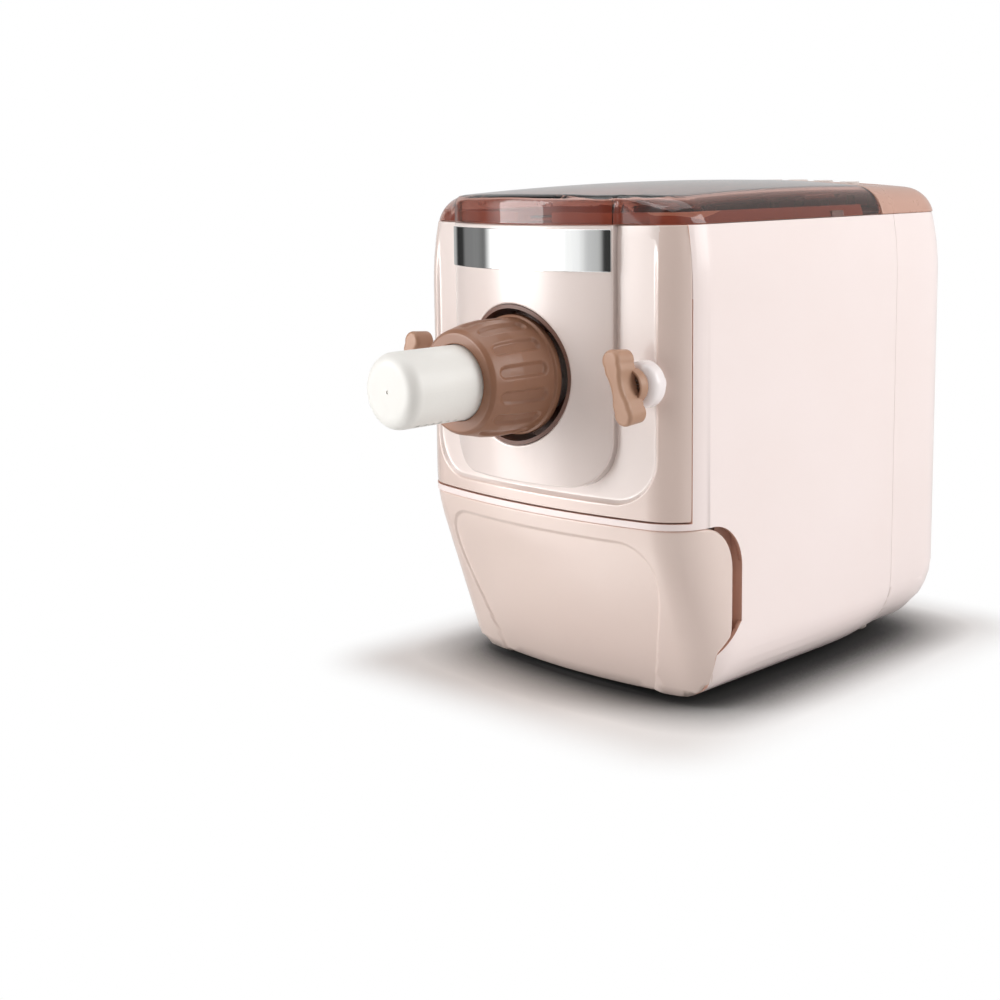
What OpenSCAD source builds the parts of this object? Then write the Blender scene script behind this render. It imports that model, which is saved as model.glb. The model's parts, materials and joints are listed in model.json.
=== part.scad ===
// Electric pasta maker: a countertop machine that mixes dough in a chamber
// under a smoked lid and pushes it out through a nozzle at the front.
// X is to the right, the front faces -Y, Z is up. Z = 0 is the worktop.

/* [Body] */
// Width of the body
body_w = 210; // [200:1:220]
// Depth of the body, without the nozzle
body_d = 295; // [285:1:310]
// Height of the body's upper edge, under the lid
body_h = 277.6; // [274:0.2:282]
// Height of the lid's crown above the body's upper edge
crown_rise = 22.4; // [21:0.2:26]
// Thickness of the body's moulded walls
wall = 2.6; // [2.2:0.1:3.2]
// Radius of the gently bowed front, seen from above
front_bow_r = 393; // [350:1:450]
// Radius of the upright front corners
front_corner_r = 30; // [27:1:34]
// Radius of the upright rear corners
rear_corner_r = 32; // [28:1:36]
// Radius of the lower edges along the sides
lower_side_r = 36; // [30:1:38]
// Radius of the lower rear edge
lower_rear_r = 36; // [30:1:40]
// Depth of the main housing, in front of the rear cover
housing_d = 222.8; // [218:0.2:228]
// Clearance between pieces that sit side by side
gap = 0.3; // [0.2:0.05:0.4]

/* [Front] */
// Height of the nozzle's axis
nozzle_z = 192.5; // [190:0.5:195]
// How far the nozzle stands out of the body's front
nozzle_reach = 106.5; // [102:0.5:112]
// Height of the seam under the upper front panel
seam_z = 114.8; // [113:0.1:117]
// Height of the step above that seam, where the recess starts
ledge_z = 122; // [121:0.1:124]
// Depth of the recess in the front panel
recess_d = 4; // [3:0.25:5]
// Width of the flush band on each side of the recess
recess_band = 17; // [15:0.5:19]
// Width of the raised centre plate
plate_w = 125.3; // [120:0.1:128]
// How far the centre plate bulges in front of the body
plate_rise = 13.4; // [12:0.1:15]
// How far the plate's side edges stand behind the body's front
plate_edge_back = 3.4; // [2.6:0.1:4]
// Height of the plate's lower edge
plate_low_z = 131; // [129:0.5:134]
// Radius of the plate's lower corners
plate_corner_r = 28; // [24:1:32]
// Lower edge of the chrome strip
strip_low_z = 252.2; // [250:0.1:254]
// Height of the chrome strip
strip_h = 23.2; // [20:0.1:24]
// Thickness of the chrome strip
strip_t = 0.8; // [0.6:0.1:1.2]

/* [Nozzle] */
// Radius of the round opening in the centre plate
port_r = 40.4; // [39.6:0.1:41.6]
// Inner radius of the extrusion barrel
barrel_r = 19; // [18.5:0.1:19.4]
// Wall of the extrusion barrel
barrel_wall = 5; // [4.6:0.1:5.2]
// Length of the lock nut
nut_l = 49; // [48:0.5:51]
// Radius of the lock nut
nut_r = 33; // [32.5:0.1:33.6]
// Number of flutes on the lock nut
flutes = 14; // [10:1:16]
// Outer radius of the white die cap
cap_r = 21; // [20.8:0.1:21.4]
// Wall of the die cap
cap_wall = 3; // [2.5:0.1:3.4]
// How far the die cap stands out of the nut
cap_l = 50; // [46:0.5:52]
// Radius of the round outlets under the cap
outlet_r = 1.7; // [1.4:0.1:1.9]
// Running clearance around turning pieces, on the radius
run = 0.06; // [0.04:0.01:0.09]

/* [Clamp knobs] */
// Distance of each clamp knob from the body's side
knob_inset = 21.5; // [20:0.5:23]
// Distance between the middles of a knob's two lobes
knob_span = 30; // [28:0.5:32]
// Radius of a knob's lobes
knob_lobe_r = 6.2; // [5.8:0.1:6.6]
// Depth of a knob's bar
knob_d = 13; // [12:0.5:14]
// Lean of the bar towards the nozzle
knob_tilt = 17; // [14:1:20]
// Radius of the round boss behind a knob
boss_r = 13; // [12.6:0.1:13.4]
// Radius of a clamp stud
stud_r = 4; // [3.6:0.1:4.4]

/* [Drawer] */
// Upper edge of the drawer
drawer_top_z = 110.6; // [109.5:0.1:111]
// Lean of the drawer's lower front, in degrees
lean = 20; // [18:0.5:21]
// Depth of the drawer's side wings behind the body's front
wing_d = 57; // [55:0.5:59]
// Radius of the wings' upper corner
wing_r = 27; // [24:1:30]
// Height at which the wings' lower corner starts
wing_knee_z = 45; // [42:1:48]
// Width of the finger groove behind the wings
groove_w = 8; // [7:0.5:9]
// Thickness of the drawer's front
drawer_t = 3; // [2.6:0.1:3.4]
// Width of the tray
tray_w = 156; // [150:1:160]
// Height of the tray
tray_h = 84; // [70:1:90]
// Length of the tray behind the drawer's front
tray_d = 60; // [56:1:64]

/* [Lid] */
// Radius of the hinge barrel at the lid's rear edge
hinge_r = 10.6; // [10.4:0.1:10.8]
// Distance of the hinge axis from the body's rear face
hinge_back = 91.8; // [90:0.2:94]
// Thickness of the lid
lid_t = 2.6; // [2.2:0.1:3]
// Rounding of the lid's long edges
lid_edge_r = 22; // [20:0.5:25]
// Radius of the hinge pins
hinge_pin_r = 2.2; // [1.8:0.1:2.4]

/* [Chamber] */
// Inner radius of the mixing chamber
chamber_r = 56; // [54:0.5:58]
// Length of the mixing chamber, outside
chamber_l = 166; // [160:1:170]
// Wall of the mixing chamber
chamber_wall = 3; // [2.6:0.1:3.4]
// Distance of the chamber's front wall behind the body's front
chamber_back = 23; // [22:0.5:25]
// Radius of the mixing shaft
mix_shaft_r = 7; // [6.5:0.1:7.5]

/* [Drive] */
// Module of the gears
gear_m = 2; // [1.96:0.01:2.02]
// Teeth on the motor's pinion
pinion_teeth = 10; // [10:1:11]
// Teeth on the large intermediate gear
big_teeth = 44; // [44:1:45]
// Teeth on the small intermediate gear
small_teeth = 13; // [13:1:14]
// Teeth on the output gear
output_teeth = 60; // [58:1:60]
// Face width of the gears
gear_w = 8; // [7:0.5:9]
// Radius of the output shaft
output_shaft_r = 8; // [7.5:0.1:8.5]
// Radius of the motor's can
motor_r = 34; // [32:0.5:36]
// Length of the motor's can
motor_l = 66; // [62:1:70]
// Radius of the motor's shaft
motor_shaft_r = 4; // [3.5:0.1:4.2]
// Radius of the cooling fan
fan_r = 29; // [27:0.5:31]

/* [Controls and base] */
// Radius of a round button
button_r = 6.5; // [6:0.1:7]
// Travel of a button
button_travel = 1; // [0.8:0.1:1.2]
// Distance between buttons
button_pitch = 20; // [17:0.5:20.5]
// Width of the control panel
panel_w = 132; // [128:1:140]
// Depth of the control panel
panel_d = 36; // [30:1:40]
// Height of the feet
foot_h = 4; // [3:0.5:5]
// Radius of a foot
foot_r = 9; // [8:0.5:10]

/* [Hidden] */

$fn = 96;
fine = 360;
far = 600;
half_w = body_w / 2;
crown_h = body_h + crown_rise;
rear_y = (body_d + nozzle_reach) / 2;
front_y = rear_y - body_d;
tip_y = front_y - nozzle_reach;

// Plan of the body: a bowed front that runs into the corners without a break
bow_y = front_y + front_bow_r;
corner_x = half_w - front_corner_r;
corner_y = bow_y - sqrt(pow(front_bow_r - front_corner_r, 2) - pow(corner_x, 2));
tangent_x = corner_x * front_bow_r / (front_bow_r - front_corner_r);
base_z = foot_h;
lean_start_z = seam_z - 10;
bay_top = drawer_top_z + gap;
bay_x = half_w - 11;
toe_y = front_y + 48;
wing_toe_z = wing_knee_z - 11;
base_w = 120;
tray_y = toe_y;
tray_z = base_z + 2 * wall + 2 * gap;
vent_x = 34;
vent_w = 52;
vent_h = 4;
vent_z = 120;
vent_pitch = 11;
foot_x = half_w - lower_side_r - foot_r;
front_foot_y = front_y + 76;
rear_foot_y = rear_y - lower_rear_r - foot_r;
base_y1 = front_y + housing_d - gap;

// Centre plate: an arc through its front line and its two edges
plate_half = plate_w / 2;
plate_sag = plate_rise + plate_edge_back;
plate_bow_r = (pow(plate_half, 2) + pow(plate_sag, 2)) / (2 * plate_sag);
plate_y = front_y - plate_rise;
plate_bow_y = plate_y + plate_bow_r;
strip_glue = 0.05;

// Clamp knobs
knob_x = half_w - knob_inset;
hub_r = 9.5;
boss_round_r = 5.6;
boss_back_r = 2;
boss_l = 11.5;
hub_t = 3.2;
waist_r = 22;
boss_y = front_y - 3;

// Pieces on the nozzle's axis
bush_r = 12;
bearing_r = 15;
axle_r = 4;
paddle_hub = 8;
coupling_y = front_y + chamber_back + chamber_l - 11;
screw_rear_y = front_y + chamber_back + 4;
mid_chamber_y = front_y + chamber_back + chamber_l / 2;
ring_y = bow_y - sqrt(pow(front_bow_r - recess_d - wall, 2) - pow(port_r + 6, 2)) + gap;
flute_r = 5.6;
outlet_pitch = 4.4;

// Nozzle
nut_front_y = tip_y + cap_l;
barrel_out_r = barrel_r + barrel_wall;
nut_lip = 3;
flange_t = 3.4;
seal_t = 1.2;
cap_flange_r = barrel_out_r + 2;
cap_flange_y = nut_front_y + nut_lip + gap;
barrel_front_y = cap_flange_y + flange_t + seal_t;
chamber_front_y = front_y + chamber_back;
chamber_rear_y = chamber_front_y + chamber_l;
stud_rear_y = chamber_front_y + 8;

// Seams and rows
side_seam_y = front_y + 24;
cover_y = front_y + housing_d;
wing_y = front_y + wing_d;
base_y0 = wing_y + 40;
deck_t = 3;
deck_z = body_h - deck_t - 1;

// Lid and its hinge
lid_z = body_h + gap;
hinge_y = rear_y - hinge_back;
hinge_z = lid_z + hinge_r + 2.6;
ear_x = 60;
ear_w = 7;
ear_r = 4;
ear_arm_t = 3;
hinge_pin_l = 22;
rim_h = 5.6;
rim_w = 11;
magnet_x = half_w - lid_t - 6;
magnet_y = hinge_y - 40;
crown_y = 60;
crown_long_r = 2400;
crown_cross_r = 900;
shoulder_z = crown_h - pow(half_w - lid_edge_r, 2) / (2 * crown_cross_r) - lid_edge_r;

// Drive train, from the nozzle's axis down to the motor's axis
output_pr = gear_m * output_teeth / 2;
small_pr = gear_m * small_teeth / 2;
big_pr = gear_m * big_teeth / 2;
pinion_pr = gear_m * pinion_teeth / 2;
middle_z = nozzle_z - output_pr - small_pr;
motor_z = middle_z - big_pr - pinion_pr;
frame_y = chamber_rear_y + 24;
frame_t = 4;
frame_x = 56;
screw_inset = 11;
case_y = frame_y + frame_t;
case_wall = 3;
case_d = 2 * gear_w + 3 * 3 + case_wall;
cover_plate_y = case_y + case_d;
slow_gear_y = case_y + case_wall + 3;
fast_gear_y = slow_gear_y + gear_w + 3;
motor_y = frame_y - motor_l;
motor_cap_t = 3;
motor_bearing_r = 8;
rotor_r = 20;
fan_d = 12;
fan_hub_r = 9;
fan_blades = 7;
fan_y = motor_y - fan_d - 17;
frame_z = base_z + 2 * wall;
pressure = 25;
tooth_up = 0.8;
tooth_down = 1.05;
backlash = 0.3;
root_overlap = 0.5;
// Phases that put a tooth of one gear in a gap of the next
small_phase = output_teeth % 2 == 0 ? 180 / small_teeth : 0;
pinion_phase = big_teeth % 2 == 0 ? 180 / pinion_teeth : 0;

// Controls
panel_y = rear_y - 46;
panel_sink = 0.5;
panel_rim = 4;
panel_back_t = 1.6;
deck_top_t = 2.6;
button_rise = 0.8;
button_x0 = -8;
display_x = -40;
display_w = 34;
display_d = 16;
display_t = 8;
board_t = 1.6;
board_z = deck_surface(0) - 17;
power_z = base_z + 30;
power_h = 84;
power_d = 80;
peg_l = 7;

// Power inlet
inlet_x = -50;
inlet_z = 78;
inlet_w = 28;
inlet_h = 21;

// Height of the crowned top above a place on the control panel's row
function deck_surface(x) = crown_h - pow(panel_y - crown_y, 2) / (2 * crown_long_r)
    - pow(x, 2) / (2 * crown_cross_r);
function button_x(i) = button_x0 + i * button_pitch;

// Shapes in the plan
module front_outline(inset) {
    intersection() {
        translate([0, bow_y]) circle(r = front_bow_r - inset, $fn = fine);
        union() {
            translate([-half_w + inset, corner_y]) square([body_w - 2 * inset, far]);
            translate([-tangent_x, front_y - 1]) square([2 * tangent_x, far]);
            for (side = [-1, 1])
                translate([side * corner_x, corner_y]) circle(r = front_corner_r - inset);
        }
    }
}

module rear_outline(inset) {
    rear_x = half_w - rear_corner_r;
    union() {
        translate([-half_w - 1, -far]) square([body_w + 2, far + rear_y - rear_corner_r]);
        translate([-rear_x, -far]) square([2 * rear_x, far + rear_y - inset]);
        for (side = [-1, 1])
            translate([side * rear_x, rear_y - rear_corner_r]) circle(r = rear_corner_r - inset);
    }
}

module plan(inset) {
    intersection() {
        front_outline(inset);
        rear_outline(inset);
    }
}

// A shape drawn as X and Z, drawn out along Y from one place to another
module along_y(from, to) {
    translate([0, to, 0]) rotate([90, 0, 0]) linear_extrude(height = to - from) children();
}

// A shape drawn as Y and Z, drawn out along X, evenly about the middle
module along_x(width) {
    translate([-width / 2, 0, 0]) rotate([90, 0, 90]) linear_extrude(height = width) children();
}

module rod_y(r, from, to, x = 0, z = nozzle_z) {
    translate([x, from, z]) rotate([-90, 0, 0]) cylinder(r = r, h = to - from);
}

module tube_y(r, bore, from, to, x = 0, z = nozzle_z) {
    difference() {
        rod_y(r, from, to, x, z);
        rod_y(bore, from - 1, to + 1, x, z);
    }
}

module block(x0, x1, y0, y1, z0, z1) {
    translate([x0, y0, z0]) cube([x1 - x0, y1 - y0, z1 - z0]);
}

// A rounded upright slot outline with only its lower corners rounded
module bib(half, low, r, top) {
    union() {
        translate([-half, low + r]) square([2 * half, top - low - r]);
        translate([-half + r, low]) square([2 * (half - r), r]);
        for (side = [-1, 1]) translate([side * (half - r), low + r]) circle(r = r);
    }
}

// The whole body up to a height, shrunk by an inset
module body_solid(inset, top) {
    low = base_z + inset;
    side_x = half_w - lower_side_r;
    intersection() {
        translate([0, 0, low]) linear_extrude(height = top - low) plan(inset);
        along_y(-far, far) union() {
            translate([-half_w, base_z + lower_side_r]) square([body_w, far]);
            translate([-side_x, low]) square([2 * side_x, far]);
            for (side = [-1, 1])
                translate([side * side_x, base_z + lower_side_r]) circle(r = lower_side_r - inset);
        }
        along_x(body_w + 2) union() {
            translate([-far, base_z]) square([far + rear_y - lower_rear_r, far]);
            translate([-far, base_z + lower_rear_r]) square([far + rear_y, far]);
            translate([rear_y - lower_rear_r, base_z + lower_rear_r]) circle(r = lower_rear_r - inset);
        }
        translate([0, front_y, lean_start_z]) rotate([lean, 0, 0]) translate([0, -front_y, -far])
            linear_extrude(height = 2 * far) front_outline(inset);
    }
}

// Side view of the drawer's wings, or of the bay that takes them. Below the
// knee the outline steps forward to the toe.
module wing_outline(rear, top, knee, toe) {
    difference() {
        union() {
            translate([rear - far, -far]) square([far - wing_r, far + top]);
            translate([rear - far, -far]) square([far, far + top - wing_r]);
            translate([rear - wing_r, top - wing_r]) circle(r = wing_r);
        }
        polygon([[rear, knee], [rear + 1, knee], [rear + 1, -1], [toe, -1], [toe, wing_toe_z]]);
    }
}

// Shapes of the front
module behind_recess(inset) {
    translate([0, bow_y, -1]) cylinder(r = front_bow_r - recess_d - inset, h = far, $fn = fine);
}

module recess_cut() {
    difference() {
        along_y(front_y - 50, corner_y + 20) bib(half_w - recess_band, ledge_z, plate_corner_r, body_h + 50);
        behind_recess(0);
    }
}

module plate_arc(inset) {
    translate([0, plate_bow_y, 0]) cylinder(r = plate_bow_r - inset, h = far, $fn = fine);
}

module main_housing() color([0.97, 0.92, 0.91]) {
    difference() {
        body_solid(0, body_h);
        body_solid(wall, body_h + 1);
        // Room for the front panel, the rear cover and the drawer
        block(-half_w - 1, half_w + 1, front_y - 20, side_seam_y, bay_top, far);
        block(-half_w - 1, half_w + 1, cover_y - gap / 2, rear_y + 1, 0, far);
        along_x(body_w + 2) wing_outline(wing_y + groove_w, bay_top, wing_knee_z + 7, toe_y + gap);
        // Opening in the floor for the base plate
        block(-base_w / 2, base_w / 2, base_y0, cover_y + 1, 0, 20);
    }
    // Roof of the drawer's bay, which shows as a narrow band at the front
    difference() {
        intersection() {
            body_solid(0, seam_z - gap);
            block(-half_w, half_w, front_y - 20, wing_y + 30, bay_top, far);
        }
        block(-half_w + 30, half_w - 30, front_y + 20, wing_y + 18, 0, far);
    }
    // Side walls of the bay, which close the finger grooves
    intersection() {
        body_solid(drawer_t + 2 * gap, body_h);
        for (side = [-1, 1]) translate([side * (bay_x + 1.3), 0, 0])
            block(-1.3, 1.3, toe_y + 2, wing_y + groove_w + 3, base_z, bay_top + 1);
    }
    intersection() {
        body_solid(wall / 2, body_h);
        for (side = [-1, 1]) translate([side * (bay_x + 6), 0, 0])
            block(-6, 6, wing_y + groove_w, wing_y + groove_w + 3, base_z, bay_top + 1);
    }
}

module front_panel() color([0.90, 0.84, 0.81]) {
    difference() {
        intersection() {
            body_solid(0, body_h);
            block(-half_w, half_w, front_y - 20, side_seam_y - gap, seam_z, far);
        }
        recess_cut();
        difference() {
            body_solid(wall, body_h + 1);
            difference() {
                block(-half_w, half_w, front_y - 20, 0, ledge_z - wall, far);
                behind_recess(wall);
            }
            block(-half_w, half_w, front_y - 20, 0, 0, seam_z + wall);
        }
        rod_y(port_r + 3, front_y - 30, 0);
        for (side = [-1, 1]) rod_y(stud_r + run, front_y - 30, 0, side * knob_x);
        block(-half_w + 12, half_w - 12, front_y + 20, 0, seam_z - 1, seam_z + wall + 1);
    }
}

module centre_plate() color([0.87, 0.83, 0.80]) {
    difference() {
        intersection() {
            along_y(plate_y - 1, front_y + 30) bib(plate_half, plate_low_z, plate_corner_r, body_h);
            plate_arc(0);
        }
        intersection() {
            along_y(plate_y - 1, front_y + 31)
                bib(plate_half - wall, plate_low_z + wall, plate_corner_r - wall, body_h - wall);
            plate_arc(wall);
        }
        behind_recess(0);
        rod_y(port_r, plate_y - 5, front_y + 31);
    }
}

module chrome_strip() color([0.85, 0.86, 0.86]) {
    intersection() {
        difference() {
            plate_arc(-strip_glue - strip_t);
            plate_arc(-strip_glue);
        }
        block(-plate_half + 0.4, plate_half - 0.4, plate_y - 5, front_y + 20,
            strip_low_z, strip_low_z + strip_h);
    }
}

module rear_cover() color([0.96, 0.91, 0.90]) {
    // Lip that slips inside the housing
    difference() {
        body_solid(wall, body_h - 8);
        body_solid(wall + 1.6, body_h);
        block(-half_w - 1, half_w + 1, front_y - 40, cover_y - 6, 0, far);
        block(-half_w - 1, half_w + 1, cover_y + 6, rear_y + 1, 0, far);
        block(-base_w / 2 - 4, base_w / 2 + 4, cover_y - 8, cover_y + gap, 0, 20);
    }
    difference() {
        body_solid(0, body_h);
        body_solid(wall, body_h + 1);
        block(-half_w - 1, half_w + 1, front_y - 40, cover_y + gap / 2, 0, far);
        // Rows of vents
        for (row = [0 : 7]) for (side = [-1, 1])
            translate([side * vent_x, 0, vent_z + row * vent_pitch])
                block(-vent_w / 2, vent_w / 2, rear_y - wall - 1, rear_y + 1, 0, vent_h);
        block(inlet_x - inlet_w / 2 - gap, inlet_x + inlet_w / 2 + gap, rear_y - 12, rear_y + 1,
            inlet_z - inlet_h / 2 - gap, inlet_z + inlet_h / 2 + gap);
    }
}

// Upper shell shared by the lid and the rear deck
module top_solid(inset, low) {
    side_x = half_w - lid_edge_r;
    intersection() {
        translate([0, 0, low]) linear_extrude(height = crown_h - low) union() {
            plan(inset);
            intersection() {
                translate([0, plate_bow_y]) circle(r = plate_bow_r - inset, $fn = fine);
                translate([-plate_half + inset, plate_y - 5]) square([plate_w - 2 * inset, 60]);
            }
        }
        along_y(-far, far) intersection() {
            translate([0, crown_h - crown_cross_r]) circle(r = crown_cross_r - inset, $fn = 2 * fine);
            union() {
                translate([-half_w, shoulder_z - far]) square([body_w, far]);
                translate([-side_x, shoulder_z - far]) square([2 * side_x, 2 * far]);
                for (side = [-1, 1])
                    translate([side * side_x, shoulder_z]) circle(r = lid_edge_r - inset);
            }
        }
        along_x(body_w + 2) intersection() {
            translate([crown_y, crown_h - crown_long_r]) circle(r = crown_long_r - inset, $fn = 4 * fine);
            union() {
                translate([-far, -far]) square([far + rear_y - lid_edge_r, 2 * far]);
                translate([-far, -far]) square([far + rear_y, far + shoulder_z]);
                translate([rear_y - lid_edge_r, shoulder_z]) circle(r = lid_edge_r - inset);
            }
        }
    }
}

module hinge_barrel(extra) {
    translate([0, hinge_y, hinge_z]) pin_rod(hinge_r + extra, body_w + 2);
}

// A pair of places at the lid's hinge, one at each side
module hinge_pair() {
    for (side = [-1, 1]) translate([side * ear_x, hinge_y, hinge_z]) children();
}

module pin_rod(r, length) {
    rotate([0, 90, 0]) cylinder(r = r, h = length, center = true);
}

module panel_block(extra, top) {
    half_x = panel_w / 2 + extra;
    half_y = panel_d / 2 + extra;
    block(-half_x, half_x, panel_y - half_y, panel_y + half_y, body_h, top);
}

module rear_deck() color([0.79, 0.64, 0.57]) {
    difference() {
        top_solid(0, body_h);
        difference() {
            top_solid(deck_top_t, body_h - 1);
            block(-half_w, half_w, hinge_y, hinge_y + hinge_r + 3, 0, far);
        }
        block(-half_w - 1, half_w + 1, plate_y - 5, hinge_y, 0, far);
        hinge_barrel(gap + 0.2);
        panel_block(gap / 2, far);
    }
    // Ears that hold the hinge pins
    difference() {
        hinge_pair() {
            pin_rod(ear_r, ear_w);
            rotate([-75, 0, 0]) translate([-ear_w / 2, 0, -ear_arm_t / 2])
                cube([ear_w, hinge_r + 2, ear_arm_t]);
        }
        hinge_pair() pin_rod(hinge_pin_r, ear_w + 1);
    }
}

module lid_shell() color([0.35, 0.22, 0.19, 0.6]) {
    difference() {
        union() {
            difference() {
                top_solid(0, lid_z);
                top_solid(lid_t, lid_z - 1);
                block(-half_w - 1, half_w + 1, hinge_y - gap, rear_y + 1, 0, far);
            }
            intersection() {
                top_solid(0, lid_z);
                hinge_barrel(0);
            }
        }
        hinge_pair() pin_rod(hinge_pin_r + run, hinge_pin_l + 1);
        hinge_pair() translate([-ear_w / 2 - gap, -ear_r - 1, -hinge_r - 3])
            cube([ear_w + 2 * gap, ear_r + hinge_r + 3, hinge_r + ear_r + 3 + gap]);
        // The barrel is hollow between the ears
        block(-ear_x + 14, ear_x - 14, hinge_y - hinge_r - 1, hinge_y + hinge_r - 3, lid_z - 1, hinge_z + 1);
    }
}

module lid_inner_frame() color([0.62, 0.45, 0.38]) {
    difference() {
        intersection() {
            translate([0, 0, lid_z + gap]) linear_extrude(height = rim_h) difference() {
                plan(lid_t + gap);
                plan(lid_t + rim_w);
            }
            top_solid(lid_t + gap, lid_z);
        }
        block(-14, 14, front_y - 20, front_y + 40, 0, far);
        block(-half_w, half_w, hinge_y - hinge_r - 1, rear_y + 1, 0, far);
        magnet_block(gap / 2);
    }
}

module magnet_block(extra) {
    block(magnet_x - 3 - extra, magnet_x + 3 + extra, magnet_y - 6 - extra, magnet_y + 6 + extra,
        lid_z + gap - extra, lid_z + gap + 3 + extra);
}

module lid_magnet() color([0.55, 0.55, 0.57]) {
    magnet_block(0);
}

module lid_switch() color([0.15, 0.15, 0.16]) {
    block(magnet_x - 5, magnet_x + 5, magnet_y - 9, magnet_y + 9, deck_z - 8, deck_z);
    rod_y(1.5, magnet_y - 3, magnet_y + 3, magnet_x, deck_z - 9);
}

module hinge_pins() color([0.75, 0.75, 0.76]) {
    hinge_pair() pin_rod(hinge_pin_r, hinge_pin_l);
}

module inner_deck() color([0.66, 0.49, 0.42]) {
    difference() {
        intersection() {
            translate([0, 0, deck_z]) linear_extrude(height = deck_t) plan(wall + gap);
            behind_recess(wall + gap);
        }
        block(-chamber_r, chamber_r, chamber_front_y + chamber_wall, chamber_rear_y - chamber_wall, 0, far);
        block(-half_w, half_w, hinge_y + hinge_r + 30, rear_y, 0, far);
    }
}

module base_plate() color([0.55, 0.52, 0.50]) {
    difference() {
        union() {
            block(-base_w / 2 + gap, base_w / 2 - gap, base_y0 + gap, base_y1, base_z, base_z + wall);
            block(-base_w / 2 - 4, base_w / 2 + 4, base_y0 - 4, base_y1, base_z + wall, base_z + 2 * wall);
        }
        screw_row() {
            cylinder(r = 2, h = 40, center = true);
            cylinder(r = 4, h = 2 * 1.8, center = true);
        }
    }
}

// The four places of the screws under the base
module screw_row() {
    for (side = [-1, 1]) for (y = [tray_y + tray_d + screw_inset, frame_y - screw_inset])
        translate([side * (frame_x - screw_inset), y, base_z]) children();
}

module base_screws() color([0.72, 0.72, 0.73]) {
    screw_row() {
        cylinder(r = 1.9, h = 2 * wall + frame_t + 1);
        cylinder(r = 3.6, h = 1.6);
    }
}

module feet() color([0.80, 0.76, 0.74]) {
    for (side = [-1, 1]) for (y = [front_foot_y, rear_foot_y])
        translate([side * foot_x, y, 0]) rotate_extrude()
            polygon([[0, 0], [foot_r - 1, 0], [foot_r, 1], [foot_r, foot_h], [0, foot_h]]);
}

module drawer_front() color([0.88, 0.81, 0.78]) {
    difference() {
        intersection() {
            body_solid(0, drawer_top_z);
            along_x(body_w + 2) wing_outline(wing_y, drawer_top_z, wing_knee_z, toe_y);
        }
        difference() {
            body_solid(drawer_t, drawer_top_z - drawer_t);
            block(-bay_x + 2, bay_x - 2, tray_y - drawer_t, tray_y, 0, far);
        }
    }
}

module drawer_tray() color([0.93, 0.91, 0.89]) {
    difference() {
        block(-tray_w / 2, tray_w / 2, tray_y, tray_y + tray_d, tray_z, tray_z + tray_h);
        block(-tray_w / 2 + 2, tray_w / 2 - 2, tray_y + 2, tray_y + tray_d - 2, tray_z + 2, far);
    }
    for (side = [-1, 1]) translate([side * 64, 0, 0])
        block(-2, 2, tray_y, tray_y + tray_d - 20, base_z + wall + gap, tray_z);
}

module port_ring() color([0.45, 0.31, 0.25]) {
    difference() {
        union() {
            intersection() {
                rod_y(port_r - 0.2, plate_y - 1, ring_y + 2.6);
                plate_arc(0.4);
            }
            rod_y(port_r + 6, ring_y, ring_y + 2.6);
        }
        rod_y(port_r - 2.4, plate_y - 2, ring_y);
        rod_y(barrel_out_r + gap, ring_y - 1, ring_y + 4);
    }
}

module extrusion_barrel() color([0.90, 0.90, 0.90]) {
    difference() {
        union() {
            rod_y(barrel_out_r, barrel_front_y, chamber_front_y - seal_t);
            rod_y(barrel_out_r + 12, chamber_front_y - seal_t - 6, chamber_front_y - seal_t);
        }
        rod_y(barrel_r, barrel_front_y - 1, chamber_front_y);
    }
}

module cap_seal() color([0.85, 0.85, 0.84]) {
    tube_y(barrel_out_r, barrel_r, cap_flange_y + flange_t, barrel_front_y);
}

module die_cap() color([0.99, 0.99, 0.99]) {
    round_r = 7;
    difference() {
        union() {
            translate([0, tip_y, nozzle_z]) rotate([-90, 0, 0]) rotate_extrude() union() {
                translate([0, round_r]) square([cap_r, cap_flange_y - tip_y - round_r]);
                square([cap_r - round_r, round_r + 1]);
                translate([cap_r - round_r, round_r]) circle(r = round_r);
            }
            rod_y(cap_flange_r - gap, cap_flange_y, cap_flange_y + flange_t);
        }
        rod_y(cap_r - cap_wall, tip_y + cap_wall + 1, cap_flange_y + flange_t + 1);
        rod_y(1, tip_y - 1, tip_y + 0.6);
        // Rows of outlets under the cap
        for (row = [-2 : 2]) for (i = [0 : 5])
            translate([row * outlet_pitch, tip_y + 13 + i * (outlet_pitch + 1), nozzle_z - cap_r - 1])
                cylinder(r = outlet_r, h = cap_r);
    }
}

module lock_nut() color([0.52, 0.35, 0.26]) {
    difference() {
        translate([0, nut_front_y, nozzle_z]) rotate([-90, 0, 0]) rotate_extrude() polygon([
            [cap_r + 0.4, 0], [nut_r - 6, 0], [nut_r - 3.6, 2.4], [nut_r - 1, 13], [nut_r, 22],
            [nut_r, nut_l - 5], [nut_r + 1.4, nut_l - 4], [nut_r + 1.4, nut_l], [barrel_out_r + run, nut_l],
            [barrel_out_r + run, nut_lip + flange_t + 3], [cap_flange_r, nut_lip + flange_t + 3],
            [cap_flange_r, nut_lip], [cap_r + 0.4, nut_lip]]);
        for (i = [0 : flutes - 1]) translate([0, nut_front_y, nozzle_z]) rotate([0, i * 360 / flutes, 0]) {
            translate([0, 7, nut_r + 3.4]) rotate([-90, 0, 0]) cylinder(r = flute_r, h = nut_l - 19);
            translate([0, nut_l - 12, nut_r + 3.4]) sphere(r = flute_r);
        }
    }
}

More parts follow.
